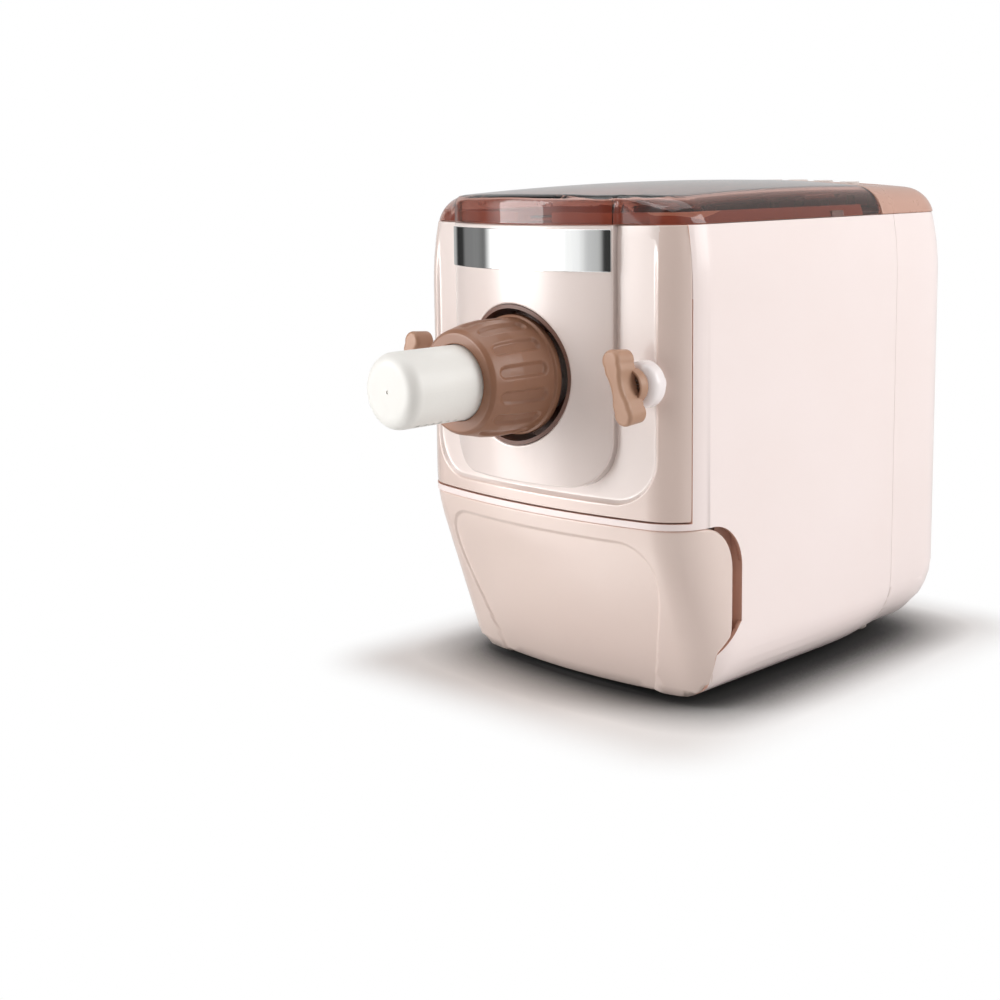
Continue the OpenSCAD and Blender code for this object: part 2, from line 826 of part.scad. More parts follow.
module knob_bosses() color([0.99, 0.97, 0.97]) {
    for (side = [-1, 1]) difference() {
        translate([side * knob_x, boss_y, nozzle_z]) rotate([-90, 0, 0]) rotate_extrude() union() {
            translate([0, boss_round_r]) square([boss_r, boss_l - boss_round_r - boss_back_r]);
            square([boss_r - boss_round_r, boss_round_r + 1]);
            translate([boss_r - boss_round_r, boss_round_r]) circle(r = boss_round_r);
            square([boss_r - boss_back_r, boss_l]);
            translate([boss_r - boss_back_r, boss_l - boss_back_r]) circle(r = boss_back_r);
            square([boss_r - 4.5, 34]);
        }
        difference() {
            translate([0, 0, base_z]) linear_extrude(height = far) plan(0);
            recess_cut();
        }
        rod_y(stud_r + run, boss_y - 2, boss_y + 40, side * knob_x);
    }
}

module clamp_knob(side) {
    bar_y = boss_y - gap - hub_t - knob_d;
    translate([side * knob_x, 0, nozzle_z]) difference() {
        union() {
            rotate([0, -side * knob_tilt, 0]) along_y(bar_y, bar_y + knob_d) union() {
                for (end = [-1, 1]) translate([0, end * knob_span / 2]) circle(r = knob_lobe_r);
                difference() {
                    square([2 * knob_lobe_r - 1, knob_span], center = true);
                    for (edge = [-1, 1])
                        translate([edge * (knob_lobe_r + waist_r - 2.2), 0]) circle(r = waist_r);
                }
            }
            rod_y(hub_r, bar_y + knob_d - 1, boss_y - gap, 0, 0);
        }
        rod_y(stud_r, bar_y + 5, boss_y, 0, 0);
    }
}

module clamp_knob_left() color([0.70, 0.58, 0.48]) { clamp_knob(-1); }
module clamp_knob_right() color([0.70, 0.58, 0.48]) { clamp_knob(1); }

// The stud turns with its knob and ends in a cam behind the front panel
module clamp_stud(side) {
    bar_y = boss_y - gap - hub_t - knob_d;
    rod_y(stud_r, bar_y + 5, stud_rear_y, side * knob_x);
    translate([side * knob_x, 0, nozzle_z]) rotate([0, -side * knob_tilt, 0])
        block(-3, 3, stud_rear_y - 4, stud_rear_y, -9, 9);
}

module clamp_stud_left() color([0.75, 0.75, 0.76]) { clamp_stud(-1); }
module clamp_stud_right() color([0.75, 0.75, 0.76]) { clamp_stud(1); }

module trough(r, y0, y1, top) {
    rod_y(r, y0, y1);
    block(-r, r, y0, y1, nozzle_z, top);
}

module mixing_chamber() color([0.93, 0.93, 0.92]) {
    difference() {
        trough(chamber_r + chamber_wall, chamber_front_y, chamber_rear_y, deck_z);
        trough(chamber_r, chamber_front_y + chamber_wall, chamber_rear_y - chamber_wall, deck_z + 1);
        rod_y(barrel_r, chamber_front_y - 1, 0);
        rod_y(bush_r, 0, chamber_rear_y + 1);
    }
}

module chamber_seal() color([0.85, 0.85, 0.84]) {
    tube_y(barrel_out_r + 8, barrel_r + 2, chamber_front_y - seal_t, chamber_front_y);
}

module mixing_shaft() color([0.82, 0.82, 0.83]) {
    rod_y(mix_shaft_r, screw_rear_y, coupling_y);
}

module mixing_paddles() color([0.95, 0.95, 0.94]) {
    pitch = (chamber_l - 2 * chamber_wall) / 3.6;
    for (i = [-1 : 1]) translate([0, mid_chamber_y + i * pitch, nozzle_z]) rotate([0, i * 120, 0])
        difference() {
            union() {
                rod_y(mix_shaft_r + 5, -paddle_hub, paddle_hub, 0, 0);
                block(-4, 4, -paddle_hub / 2, paddle_hub / 2, mix_shaft_r + 2, chamber_r - 5);
                block(-3, 3, -0.4 * pitch, 0.4 * pitch, chamber_r - 7, chamber_r - 2.5);
            }
            rod_y(mix_shaft_r, -paddle_hub - 1, paddle_hub + 1, 0, 0);
        }
}

module extrusion_screw() color([0.90, 0.90, 0.89]) {
    flight_r = barrel_r - 0.6;
    length = screw_rear_y - barrel_front_y - 3;
    translate([0, screw_rear_y, nozzle_z]) rotate([90, 0, 0])
        linear_extrude(height = length, twist = 900, slices = 48, $fn = 20) union() {
            circle(r = mix_shaft_r + 1.5);
            translate([flight_r / 2, 0]) square([flight_r - 1, 6], center = true);
            translate([flight_r - 3, 0]) circle(r = 3);
        }
}

module shaft_bush() color([0.78, 0.66, 0.40]) {
    tube_y(bush_r, output_shaft_r + run, chamber_rear_y - chamber_wall, chamber_rear_y);
    tube_y(bush_r + 4, output_shaft_r + run, chamber_rear_y, chamber_rear_y + 3);
}

module output_shaft() color([0.75, 0.75, 0.76]) {
    rod_y(output_shaft_r, coupling_y, cover_plate_y + case_wall);
}

// Flank of a gear tooth: the involute of its base circle
function involute(base_r, t) =
    base_r * [cos(t) + t * PI / 180 * sin(t), sin(t) - t * PI / 180 * cos(t)];
function turned(p, a) = [p[0] * cos(a) - p[1] * sin(a), p[0] * sin(a) + p[1] * cos(a)];
function flank_t(base_r, r) = sqrt(max(0, pow(r / base_r, 2) - 1)) * 180 / PI;
function flank_a(base_r, r) = flank_t(base_r, r) - acos(min(1, base_r / r));

// A spur gear with one tooth centred on +Y of its drawing when phase is 0
module gear_outline(teeth, phase) {
    pitch_r = gear_m * teeth / 2;
    base_r = pitch_r * cos(pressure);
    tip_r = pitch_r + tooth_up * gear_m;
    root_r = pitch_r - tooth_down * gear_m;
    low_r = max(base_r, root_r - root_overlap);
    half_a = 90 / teeth - backlash / pitch_r * 90 / PI;
    steps = 3;
    flank = [for (i = [0 : steps]) let (r = low_r + (tip_r - low_r) * i / steps)
        turned(involute(base_r, flank_t(base_r, r)), -half_a - flank_a(base_r, pitch_r))];
    union() {
        circle(r = root_r);
        for (k = [0 : teeth - 1]) rotate(90 + phase + k * 360 / teeth)
            polygon(concat([[root_r - 2 * root_overlap, flank[0][1]]], flank,
                [for (i = [steps : -1 : 0]) [flank[i][0], -flank[i][1]]],
                [[root_r - 2 * root_overlap, -flank[0][1]]]));
    }
}

module spur_gear(teeth, y, z, phase, bore) {
    difference() {
        translate([0, 0, z]) along_y(y, y + gear_w) gear_outline(teeth, phase);
        rod_y(bore, y - 1, y + gear_w + 1, 0, z);
    }
}

module output_gear() color([0.90, 0.88, 0.80]) {
    spur_gear(output_teeth, slow_gear_y, nozzle_z, 0, output_shaft_r);
}

module intermediate_gear() color([0.90, 0.88, 0.80]) {
    spur_gear(small_teeth, slow_gear_y, middle_z, small_phase, axle_r + run);
    tube_y(small_pr - 4, axle_r + run, slow_gear_y + gear_w, fast_gear_y, 0, middle_z);
    spur_gear(big_teeth, fast_gear_y, middle_z, 0, axle_r + run);
}

module intermediate_axle() color([0.75, 0.75, 0.76]) {
    rod_y(axle_r, case_y, cover_plate_y + case_wall, 0, middle_z);
}

module drive_pinion() color([0.70, 0.70, 0.71]) {
    spur_gear(pinion_teeth, fast_gear_y, motor_z, pinion_phase, motor_shaft_r);
}

module case_outline(inset) {
    union() {
        translate([0, nozzle_z]) circle(r = output_pr + 7 - inset);
        translate([0, middle_z]) circle(r = big_pr + 7 - inset);
        translate([0, motor_z]) circle(r = pinion_pr + 9 - inset);
        translate([-pinion_pr - 9 + inset, motor_z]) square([2 * (pinion_pr + 9 - inset), big_pr]);
    }
}

module gearbox_case() color([0.62, 0.63, 0.65]) {
    difference() {
        along_y(case_y, cover_plate_y) case_outline(0);
        along_y(case_y + case_wall, cover_plate_y + 1) case_outline(case_wall);
        rod_y(bearing_r, case_y - 1, case_y + 5);
        rod_y(axle_r, case_y - 1, case_y + 5, 0, middle_z);
        rod_y(motor_shaft_r + 2, case_y - 1, case_y + 5, 0, motor_z);
    }
}

module gearbox_cover() color([0.58, 0.59, 0.61]) {
    difference() {
        along_y(cover_plate_y, cover_plate_y + case_wall) case_outline(0);
        rod_y(bearing_r, cover_plate_y - 1, cover_plate_y + 5);
        rod_y(axle_r, cover_plate_y - 1, cover_plate_y + 5, 0, middle_z);
    }
}

module output_bearings() color([0.80, 0.80, 0.81]) {
    tube_y(bearing_r, output_shaft_r + run, case_y, case_y + case_wall);
    tube_y(bearing_r, output_shaft_r + run, cover_plate_y, cover_plate_y + case_wall);
}

module motor_can() color([0.50, 0.51, 0.53]) {
    difference() {
        rod_y(motor_r, motor_y, frame_y, 0, motor_z);
        rod_y(motor_r - 2.5, motor_y + motor_cap_t, frame_y - motor_cap_t, 0, motor_z);
        rod_y(motor_bearing_r, motor_y - 1, frame_y + 1, 0, motor_z);
    }
}

module motor_bearings() color([0.80, 0.80, 0.81]) {
    tube_y(motor_bearing_r, motor_shaft_r + run, motor_y, motor_y + motor_cap_t, 0, motor_z);
    tube_y(motor_bearing_r, motor_shaft_r + run, frame_y - motor_cap_t, frame_y, 0, motor_z);
}

module motor_stator() color([0.35, 0.36, 0.38]) {
    tube_y(motor_r - 2.5, rotor_r + 0.8, motor_y + 11, frame_y - 11, 0, motor_z);
}

module motor_rotor() color([0.60, 0.45, 0.30]) {
    tube_y(rotor_r, motor_shaft_r, motor_y + 11, frame_y - 11, 0, motor_z);
}

module motor_shaft() color([0.75, 0.75, 0.76]) {
    rod_y(motor_shaft_r, fan_y, fast_gear_y + gear_w, 0, motor_z);
}

module cooling_fan() color([0.20, 0.20, 0.21]) {
    tube_y(fan_hub_r, motor_shaft_r, fan_y, fan_y + fan_d, 0, motor_z);
    for (i = [0 : fan_blades - 1]) translate([0, fan_y + fan_d / 2, motor_z])
        rotate([0, i * 360 / fan_blades, 0]) rotate([0, 0, 35])
            block(-1, 1, -fan_d / 2 - 1, fan_d / 2 + 1, fan_hub_r - 0.5, fan_r);
}

module drive_frame() color([0.68, 0.69, 0.71]) {
    difference() {
        union() {
            block(-frame_x, frame_x, tray_y + tray_d + 3, frame_y + frame_t, frame_z, frame_z + frame_t);
            block(-frame_x, frame_x, frame_y, frame_y + frame_t, frame_z, nozzle_z + output_pr - 6);
            rod_y(bush_r + 4, chamber_rear_y + 3 + gap, frame_y + 1);
        }
        rod_y(output_shaft_r + 1, chamber_rear_y, frame_y + frame_t + 1);
        rod_y(motor_shaft_r + 2, frame_y - 1, frame_y + frame_t + 1, 0, motor_z);
        screw_row() cylinder(r = 2, h = 40, center = true);
    }
}

module control_panel() color([0.30, 0.22, 0.20]) {
    difference() {
        union() {
            intersection() {
                difference() {
                    top_solid(panel_sink, body_h);
                    top_solid(deck_top_t + panel_back_t, body_h - 1);
                }
                panel_block(0, far);
            }
            intersection() {
                difference() {
                    top_solid(deck_top_t, body_h);
                    top_solid(deck_top_t + panel_back_t, body_h - 1);
                }
                panel_block(panel_rim, far);
            }
        }
        for (i = [0 : 3]) translate([button_x(i), panel_y, body_h]) cylinder(r = button_r + 0.2, h = far);
        display_block(0.1);
    }
}

module display_block(extra) {
    half_x = display_w / 2 + extra;
    half_y = display_d / 2 + extra;
    block(display_x - half_x, display_x + half_x, panel_y - half_y, panel_y + half_y,
        deck_surface(display_x) - display_t - extra, far);
}

module display_window() color([0.08, 0.08, 0.09]) {
    difference() {
        display_block(0);
        block(-half_w, half_w, 0, rear_y,
            deck_surface(abs(display_x) + display_w / 2) - panel_sink, 2 * far);
    }
}

module panel_button(i) {
    top = deck_surface(button_x(i)) + button_rise;
    shelf = deck_surface(abs(button_x(i)) + button_r + 2) - deck_top_t - panel_back_t - gap;
    translate([button_x(i), panel_y, 0]) {
        translate([0, 0, shelf - 1.6]) cylinder(r = button_r + 1.8, h = 1.6);
        translate([0, 0, shelf - 3]) cylinder(r = 2, h = 3);
        translate([0, 0, shelf - 1]) cylinder(r = button_r, h = top - shelf + 0.41);
        translate([0, 0, top - 0.6]) cylinder(r1 = button_r, r2 = button_r - 0.6, h = 0.6);
    }
}

module power_button() color([0.85, 0.84, 0.83]) { panel_button(0); }
module mode_button() color([0.85, 0.84, 0.83]) { panel_button(1); }
module plus_button() color([0.85, 0.84, 0.83]) { panel_button(2); }
module minus_button() color([0.85, 0.84, 0.83]) { panel_button(3); }

module control_board() color([0.10, 0.35, 0.20]) {
    block(-panel_w / 2 + 2, panel_w / 2 - 2, panel_y - panel_d / 2 + 2, panel_y + panel_d / 2 - 2,
        board_z, board_z + board_t);
    for (i = [0 : 3]) translate([button_x(i), panel_y, board_z + board_t - 0.2])
        cylinder(r = 3, h = switch_top(i) - board_z - board_t + 0.2);
    block(display_x - 14, display_x + 14, panel_y - 6, panel_y + 6,
        board_z + 1, deck_surface(display_x) - display_t - 0.2);
    for (side = [-1, 1]) for (end = [-1, 1])
        translate([side * (panel_w / 2 - 6), panel_y + end * (panel_d / 2 - 6), board_z + 1])
            cylinder(r = 2.5, h = deck_surface(panel_w / 2) - deck_top_t - panel_back_t - board_z - 1.4);
}

// A switch under a button ends below the button's stem, clear of its travel
function switch_top(i) = deck_surface(abs(button_x(i)) + button_r + 2) - deck_top_t - panel_back_t - gap
    - 3 - button_travel - 0.2;

// The power board stands on four pegs on the housing's left wall
module power_board() color([0.12, 0.32, 0.20]) {
    board_x = -half_w + wall + peg_l;
    block(board_x, board_x + board_t, fan_y, fan_y + power_d, power_z, power_z + power_h);
    for (y = [fan_y + 8, fan_y + power_d - 8]) for (z = [power_z + 14, power_z + power_h - 8])
        translate([-half_w + wall + gap, y, z]) rotate([0, 90, 0]) cylinder(r = 3, h = peg_l - gap + 0.2);
    // Transformer, relay and two capacitors
    block(board_x + 1, board_x + 18, fan_y + 10, fan_y + 32, power_z + 26, power_z + 50);
    block(board_x + 1, board_x + 14, fan_y + 40, fan_y + 64, power_z + 10, power_z + 28);
    for (y = [fan_y + 42, fan_y + 56]) translate([board_x + 1, y, power_z + 66]) rotate([0, 90, 0])
        cylinder(r = 5, h = 20);
}

module power_inlet() color([0.12, 0.12, 0.13]) {
    difference() {
        block(inlet_x - inlet_w / 2, inlet_x + inlet_w / 2, rear_y - 22, rear_y - 0.6,
            inlet_z - inlet_h / 2, inlet_z + inlet_h / 2);
        block(inlet_x - inlet_w / 2 + 2, inlet_x + inlet_w / 2 - 2, rear_y - 18, rear_y + 1,
            inlet_z - inlet_h / 2 + 2, inlet_z + inlet_h / 2 - 2);
    }
    for (i = [-1 : 1]) translate([inlet_x + i * 7, 0, inlet_z + (i == 0 ? 2 : -2)])
        block(-1, 1, rear_y - 19, rear_y - 5, -2, 2);
    difference() {
        block(inlet_x - inlet_w / 2 - 5, inlet_x + inlet_w / 2 + 5, rear_y - wall - 2, rear_y - wall,
            inlet_z - inlet_h / 2 - 4, inlet_z + inlet_h / 2 + 4);
        block(inlet_x - inlet_w / 2 + 1, inlet_x + inlet_w / 2 - 1, rear_y - 20, rear_y,
            inlet_z - inlet_h / 2 + 1, inlet_z + inlet_h / 2 - 1);
    }
}

main_housing();
front_panel();
centre_plate();
chrome_strip();
rear_cover();
rear_deck();
inner_deck();
base_plate();
feet();
drawer_front();
drawer_tray();
lid_shell();
lid_inner_frame();
hinge_pins();
lid_magnet();
lid_switch();
port_ring();
extrusion_barrel();
cap_seal();
die_cap();
lock_nut();
knob_bosses();
clamp_knob_left();
clamp_knob_right();
clamp_stud_left();
clamp_stud_right();
mixing_chamber();
chamber_seal();
mixing_shaft();
mixing_paddles();
extrusion_screw();
shaft_bush();
output_shaft();
output_gear();
gearbox_case();
gearbox_cover();
output_bearings();
intermediate_gear();
intermediate_axle();
drive_pinion();
motor_can();
motor_bearings();
motor_stator();
motor_shaft();
motor_rotor();
cooling_fan();
drive_frame();
control_panel();
display_window();
power_button();
mode_button();
plus_button();
minus_button();
control_board();
power_board();
power_inlet();
base_screws();
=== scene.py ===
"""Looks of the electric pasta maker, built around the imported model. The front faces -Y and +Z is up.

Shapes are worked out in millimetres and turned into metres where a mesh is made.
"""
import json
import math

import bmesh
import bpy
import numpy as np
from mathutils import Matrix, Vector
from mathutils.geometry import delaunay_2d_cdt


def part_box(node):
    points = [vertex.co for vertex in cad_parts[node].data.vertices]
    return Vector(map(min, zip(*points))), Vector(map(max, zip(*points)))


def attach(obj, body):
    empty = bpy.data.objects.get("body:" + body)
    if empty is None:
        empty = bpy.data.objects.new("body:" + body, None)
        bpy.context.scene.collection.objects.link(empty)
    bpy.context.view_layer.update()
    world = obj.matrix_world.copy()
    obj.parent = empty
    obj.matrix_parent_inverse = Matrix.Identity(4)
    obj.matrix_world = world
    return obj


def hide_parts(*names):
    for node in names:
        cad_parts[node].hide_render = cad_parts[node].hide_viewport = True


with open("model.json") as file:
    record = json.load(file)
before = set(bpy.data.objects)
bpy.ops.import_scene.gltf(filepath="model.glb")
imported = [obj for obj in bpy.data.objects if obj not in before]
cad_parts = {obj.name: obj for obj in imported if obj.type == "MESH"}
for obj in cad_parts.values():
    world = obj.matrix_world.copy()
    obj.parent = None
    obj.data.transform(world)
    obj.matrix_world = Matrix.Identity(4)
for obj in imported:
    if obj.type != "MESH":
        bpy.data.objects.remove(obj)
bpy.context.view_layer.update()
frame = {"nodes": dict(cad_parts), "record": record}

MM = 0.001


def box_mm(node):
    """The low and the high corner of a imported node's box, in millimetres."""
    low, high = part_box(node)
    return np.array(low) / MM, np.array(high) / MM


# -------- camera
# Worked out from the machine's straight edges. The camera looks at AIM.
AZIMUTH, ELEVATION, ROLL = 45.22, 8.2, -0.8
DISTANCE = 0.91114
AIM = Vector((0.0, -0.11675, 0.17909))
FOCAL_PX, PICTURE_PX, SENSOR_MM = 1607.85, 1000.0, 36.0
FRAME_SHIFT = -0.1
NEAR_CLIP = 0.01


def make_camera():
    """The camera, by its angles and its distance."""
    az, el, roll = (math.radians(a) for a in (AZIMUTH, ELEVATION, ROLL))
    back = Vector((math.sin(az) * math.cos(el), -math.cos(az) * math.cos(el), math.sin(el)))
    right = (-back).cross(Vector((0, 0, 1))).normalized()
    up = right.cross(-back)
    side = math.cos(roll) * right + math.sin(roll) * up
    top = math.cos(roll) * up - math.sin(roll) * right
    data = bpy.data.cameras.new("camera")
    data.sensor_width = SENSOR_MM
    data.lens = SENSOR_MM * FOCAL_PX / PICTURE_PX
    data.shift_y = FRAME_SHIFT
    data.clip_start = NEAR_CLIP
    camera = bpy.data.objects.new("camera", data)
    turn = Matrix((side, top, back)).transposed()
    camera.matrix_world = Matrix.Translation(AIM + back * DISTANCE) @ turn.to_4x4()
    bpy.context.collection.objects.link(camera)
    bpy.context.scene.camera = camera


make_camera()


# -------- materials
# Most of a noise lies within this range
NOISE_RANGE = (0.3, 0.7)
DRIFT_SCALE, POLISH_SCALE = 9.0, 60.0
PLASTIC_IOR = 1.46


def linear(colour):
    """An sRGB colour in steps of 0 to 255, as a linear RGBA."""
    def one(step):
        share = step / 255.0
        return share / 12.92 if share <= 0.04045 else ((share + 0.055) / 1.055) ** 2.4
    return tuple(one(step) for step in colour) + (1.0,)


def shader(name):
    """A new material with its node tree and its main shader."""
    material = bpy.data.materials.new(name)
    material.use_nodes = True
    tree = material.node_tree
    return material, tree, tree.nodes["Principled BSDF"]


def plug(tree, node, sources):
    """Feeds a node's inputs. Each source is a value to set, or another node's output to link."""
    for socket, source in sources.items():
        if isinstance(source, bpy.types.NodeSocket):
            tree.links.new(source, node.inputs[socket])
        else:
            node.inputs[socket].default_value = source


def wired(tree, kind, sources, operation=None):
    """The outputs of a new node that is fed by its sources."""
    node = tree.nodes.new("ShaderNode" + kind)
    if operation:
        node.operation = operation
    plug(tree, node, sources)
    return node.outputs


def noise(tree, scale, detail=3.0, stretch=(1.0, 1.0, 1.0)):
    """A noise in object space; its features are about 1 / scale metres across."""
    place = wired(tree, "TexCoord", {})["Object"]
    place = wired(tree, "Mapping", {"Vector": place, "Scale": stretch})["Vector"]
    return wired(tree, "TexNoise", {"Vector": place, "Scale": scale, "Detail": detail})["Fac"]


def mapped(tree, value, from_range, to_range):
    """A value taken from one range to another."""
    limits = zip(("From Min", "From Max", "To Min", "To Max"), from_range + to_range)
    return wired(tree, "MapRange", {"Value": value, **dict(limits)})["Result"]


def ramp(tree, value, stops):
    """A colour by a value; stops are places and linear colours."""
    node = tree.nodes.new("ShaderNodeValToRGB")
    elements = node.color_ramp.elements
    while len(elements) < len(stops):
        elements.new(0.5)
    for element, (position, colour) in zip(elements, stops):
        element.position = position
        element.color = colour
    tree.links.new(value, node.inputs["Fac"])
    return node.outputs["Color"]


def two_tone(tree, value, first, second):
    """A colour between two, by a noise."""
    return ramp(tree, value, list(zip(NOISE_RANGE, (linear(first), linear(second)))))


def bump(tree, value, height):
    """The normal of a relief; height is in metres."""
    return wired(tree, "Bump", {"Height": value, "Distance": height, "Strength": 1.0})["Normal"]


def moulded(name, colour, shade, rough, grain=900.0, grain_height=0.00002, coat=0.0, coat_rough=0.10,
            clear=0.0):
    """Moulded plastic: colour drifts to shade over centimetres, with a fine grain on top."""
    material, tree, bsdf = shader(name)
    plug(tree, bsdf, {
        "Base Color": two_tone(tree, noise(tree, DRIFT_SCALE), colour, shade),
        "Roughness": mapped(tree, noise(tree, POLISH_SCALE), NOISE_RANGE, (rough * 0.92, rough * 1.08)),
        "Normal": bump(tree, noise(tree, grain, 2.0), grain_height),
        "IOR": PLASTIC_IOR, "Coat Weight": coat, "Coat Roughness": coat_rough, "Transmission Weight": clear})
    MATERIALS[name] = material


def metal(name, colour, shade, rough, stretch=(1.0, 1.0, 1.0), grain=700.0, grain_height=0.00001):
    """Metal with fine marks that run along its finish."""
    material, tree, bsdf = shader(name)
    marks = noise(tree, grain, 3.0, stretch)
    plug(tree, bsdf, {
        "Metallic": 1.0,
        "Base Color": two_tone(tree, marks, colour, shade),
        "Roughness": mapped(tree, marks, NOISE_RANGE, (rough * 0.8, rough * 1.2)),
        "Normal": bump(tree, marks, grain_height)})
    MATERIALS[name] = material


MATERIALS = {}
PEARL = dict(coat=1.0, coat_rough=0.2)
COARSE = dict(grain=700.0, grain_height=0.00003)

moulded("body_white", (250, 238, 236), (248, 235, 232), 0.30, coat=0.25)
moulded("front_pearl", (238, 226, 221), (236, 223, 218), 0.30, **PEARL)
# painted shade: a darker copy of the front's pearl for the band round the recess
moulded("front_band_painted_shade", (228, 209, 200), (225, 205, 196), 0.30, **PEARL)
moulded("drawer_pearl", (232, 215, 206), (229, 211, 203), 0.30, coat=0.25)
metal("chrome", (240, 241, 240), (236, 237, 237), 0.06, (1.0, 1.0, 0.05), 300.0, 0.000001)
moulded("deck_tan", (201, 160, 143), (197, 154, 136), 0.28, coat=0.3)
moulded("lid_smoke", (196, 152, 140), (191, 147, 135), 0.03, 300.0, 0.0000005, clear=1.0)
moulded("inner_tan", (246, 198, 176), (242, 193, 170), 0.38)
# painted shade: a brown for the shade and bounce light in the groove round the drawer's wings
moulded("groove_painted_shade", (222, 178, 160), (218, 173, 155), 0.45)
moulded("nut_brown", (152, 111, 88), (145, 103, 80), 0.36, **COARSE)
# painted shade: a darker copy of the nut's brown, for the shaded ring round the port
moulded("port_painted_shade", (112, 76, 62), (104, 69, 55), 0.40, **COARSE)
moulded("knob_tan", (182, 144, 120), (176, 137, 113), 0.38, **COARSE)
moulded("cap_white", (240, 240, 237), (236, 236, 232), 0.42, **COARSE)
moulded("boss_white", (250, 244, 244), (248, 241, 241), 0.22, coat=0.4)
moulded("panel_dark", (190, 150, 132), (185, 144, 126), 0.22, coat=0.5)
moulded("display_glass", (20, 20, 24), (16, 16, 20), 0.05, coat=0.6)
moulded("button_white", (226, 220, 216), (220, 213, 208), 0.36)
moulded("tray_cream", (226, 220, 212), (220, 213, 204), 0.48, 500.0, 0.00005)
moulded("chamber_clear", (232, 230, 226), (227, 224, 219), 0.36)
moulded("seal_grey", (196, 194, 190), (189, 187, 182), 0.62, 500.0, 0.00004)
moulded("foot_rubber", (196, 186, 178), (186, 176, 168), 0.70, 400.0, 0.00008)
moulded("gear_nylon", (228, 222, 202), (221, 214, 192), 0.44)
moulded("motor_black", (62, 64, 68), (52, 54, 58), 0.40)
moulded("fan_black", (32, 32, 34), (26, 26, 28), 0.45)
moulded("board_green", (30, 88, 52), (24, 76, 44), 0.40)
metal("steel", (190, 192, 194), (176, 178, 181), 0.26, (0.04, 0.04, 1.0))
metal("zinc", (150, 152, 156), (138, 140, 145), 0.42)
metal("bronze", (186, 152, 96), (170, 136, 82), 0.34)
metal("copper", (176, 110, 68), (150, 88, 52), 0.36, (1.0, 0.03, 1.0))

# The ring round the nozzle's port has the nut's slot, but a deeper brown paints the shade in its recess
PAINTED_SHADE_TONES = {"port_ring": "port_painted_shade"}


def dress_cad_nodes():
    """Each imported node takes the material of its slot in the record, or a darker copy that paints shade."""
    for row in frame["record"]["subparts"]:
        node = frame["nodes"][row["node"]]
        node.data.materials.clear()
        node.data.materials.append(MATERIALS[PAINTED_SHADE_TONES.get(row["node"], row["material_slot"])])


dress_cad_nodes()


# -------- outlines, in a flat drawing
ROW_SPACING = 0.866


def fillet(before, here, after, radius, step, least, widest=math.pi):
    """Points of the arc that rounds a corner, or the corner itself where there is nothing to round.

    Its steps are about as long as step, at least a number of them, and none turns more than widest.
    """
    to_before = (before - here) / np.linalg.norm(before - here)
    to_after = (after - here) / np.linalg.norm(after - here)
    half = math.acos(max(-1.0, min(1.0, float(to_before @ to_after)))) / 2
    if radius <= 0 or half > math.pi / 2 - 0.01:
        return [here]
    reach = radius / math.tan(half)
    middle = (to_before + to_after) / np.linalg.norm(to_before + to_after)
    centre = here + middle * radius / math.sin(half)
    first, last = here + to_before * reach - centre, here + to_after * reach - centre
    start = math.atan2(first[1], first[0])
    turn = (math.atan2(last[1], last[0]) - start + math.pi) % (2 * math.pi) - math.pi
    steps = max(least, math.ceil(abs(turn) * radius / step), math.ceil(abs(turn) / widest))
    points = []
    for k in range(steps + 1):
        angle = start + turn * k / steps
        points.append(centre + radius * np.array((math.cos(angle), math.sin(angle))))
    return points


def dense(points, step, closed=True):
    """The points of a loop, or of an open line, with its long sides split."""
    out = []
    for here, ahead in zip(points, np.roll(points, -1, axis=0) if closed else points[1:]):
        pieces = max(1, math.ceil(np.linalg.norm(ahead - here) / step))
        out += [here + (ahead - here) * k / pieces for k in range(pieces)]
    return np.array(out if closed else out + [points[-1]])


def rounded_loop(corners, step=3.0):
    """A closed loop through corners (x, y, fillet radius), sampled at about step."""
    places = [np.array(corner[:2], float) for corner in corners]
    points = []
    for i, (_, _, radius) in enumerate(corners):
        points += fillet(places[i - 1], places[i], places[(i + 1) % len(places)], radius, step, 3, 0.2)
    return dense(np.array(points), step)


def rounded_profile(corners, step):
    """An open line through corners (along, radius, fillet radius), its arcs sampled at about step."""
    places = [np.array(corner[:2], float) for corner in corners]
    points = [places[0]]
    for before, here, after, (_, _, radius) in zip(places, places[1:], places[2:], corners[1:]):
        points += fillet(before, here, after, radius, step, 4)
    return np.array(points + [places[-1]])


def bib_loop(half, low, r, top, step=3.0, top_r=0.0):
    """A bib's outline: lower corners rounded by r and upper ones by top_r."""
    return rounded_loop([(-half, low, r), (half, low, r), (half, top, top_r), (-half, top, top_r)], step)


def circle_loop(x, y, r, count=96):
    """A circle as a loop."""
    angles = np.arange(count) * 2 * math.pi / count
    return np.stack((x + r * np.cos(angles), y + r * np.sin(angles)), 1)


def loop_area(loop):
    """Area inside a loop, positive where it runs counterclockwise."""
    ahead = np.roll(loop, -1, axis=0)
    return 0.5 * float(np.sum(loop[:, 0] * ahead[:, 1] - ahead[:, 0] * loop[:, 1]))


def moved_left(loop, distance):
    """The loop moved to its left by a distance, with mitred corners."""
    ahead = np.roll(loop, -1, axis=0) - loop
    ahead /= np.linalg.norm(ahead, axis=1)[:, None]
    behind = np.roll(ahead, 1, axis=0)
    n_behind = np.stack((-behind[:, 1], behind[:, 0]), 1)
    n_ahead = np.stack((-ahead[:, 1], ahead[:, 0]), 1)
    mitre = (n_behind + n_ahead) / np.maximum(1 + np.sum(n_behind * n_ahead, axis=1), 0.3)[:, None]
    return loop + distance * mitre


def inside(points, loops):
    """Which points lie in the area that the loops bound, by the even and odd rule."""
    x, y = points[:, 0], points[:, 1]
    result = np.zeros(len(points), bool)
    for loop in loops:
        for (x1, y1), (x2, y2) in zip(loop, np.roll(loop, -1, axis=0)):
            if y1 == y2:
                continue
            crosses = (y1 > y) != (y2 > y)
            result ^= crosses & (x < (x2 - x1) * (y - y1) / (y2 - y1) + x1)
    return result


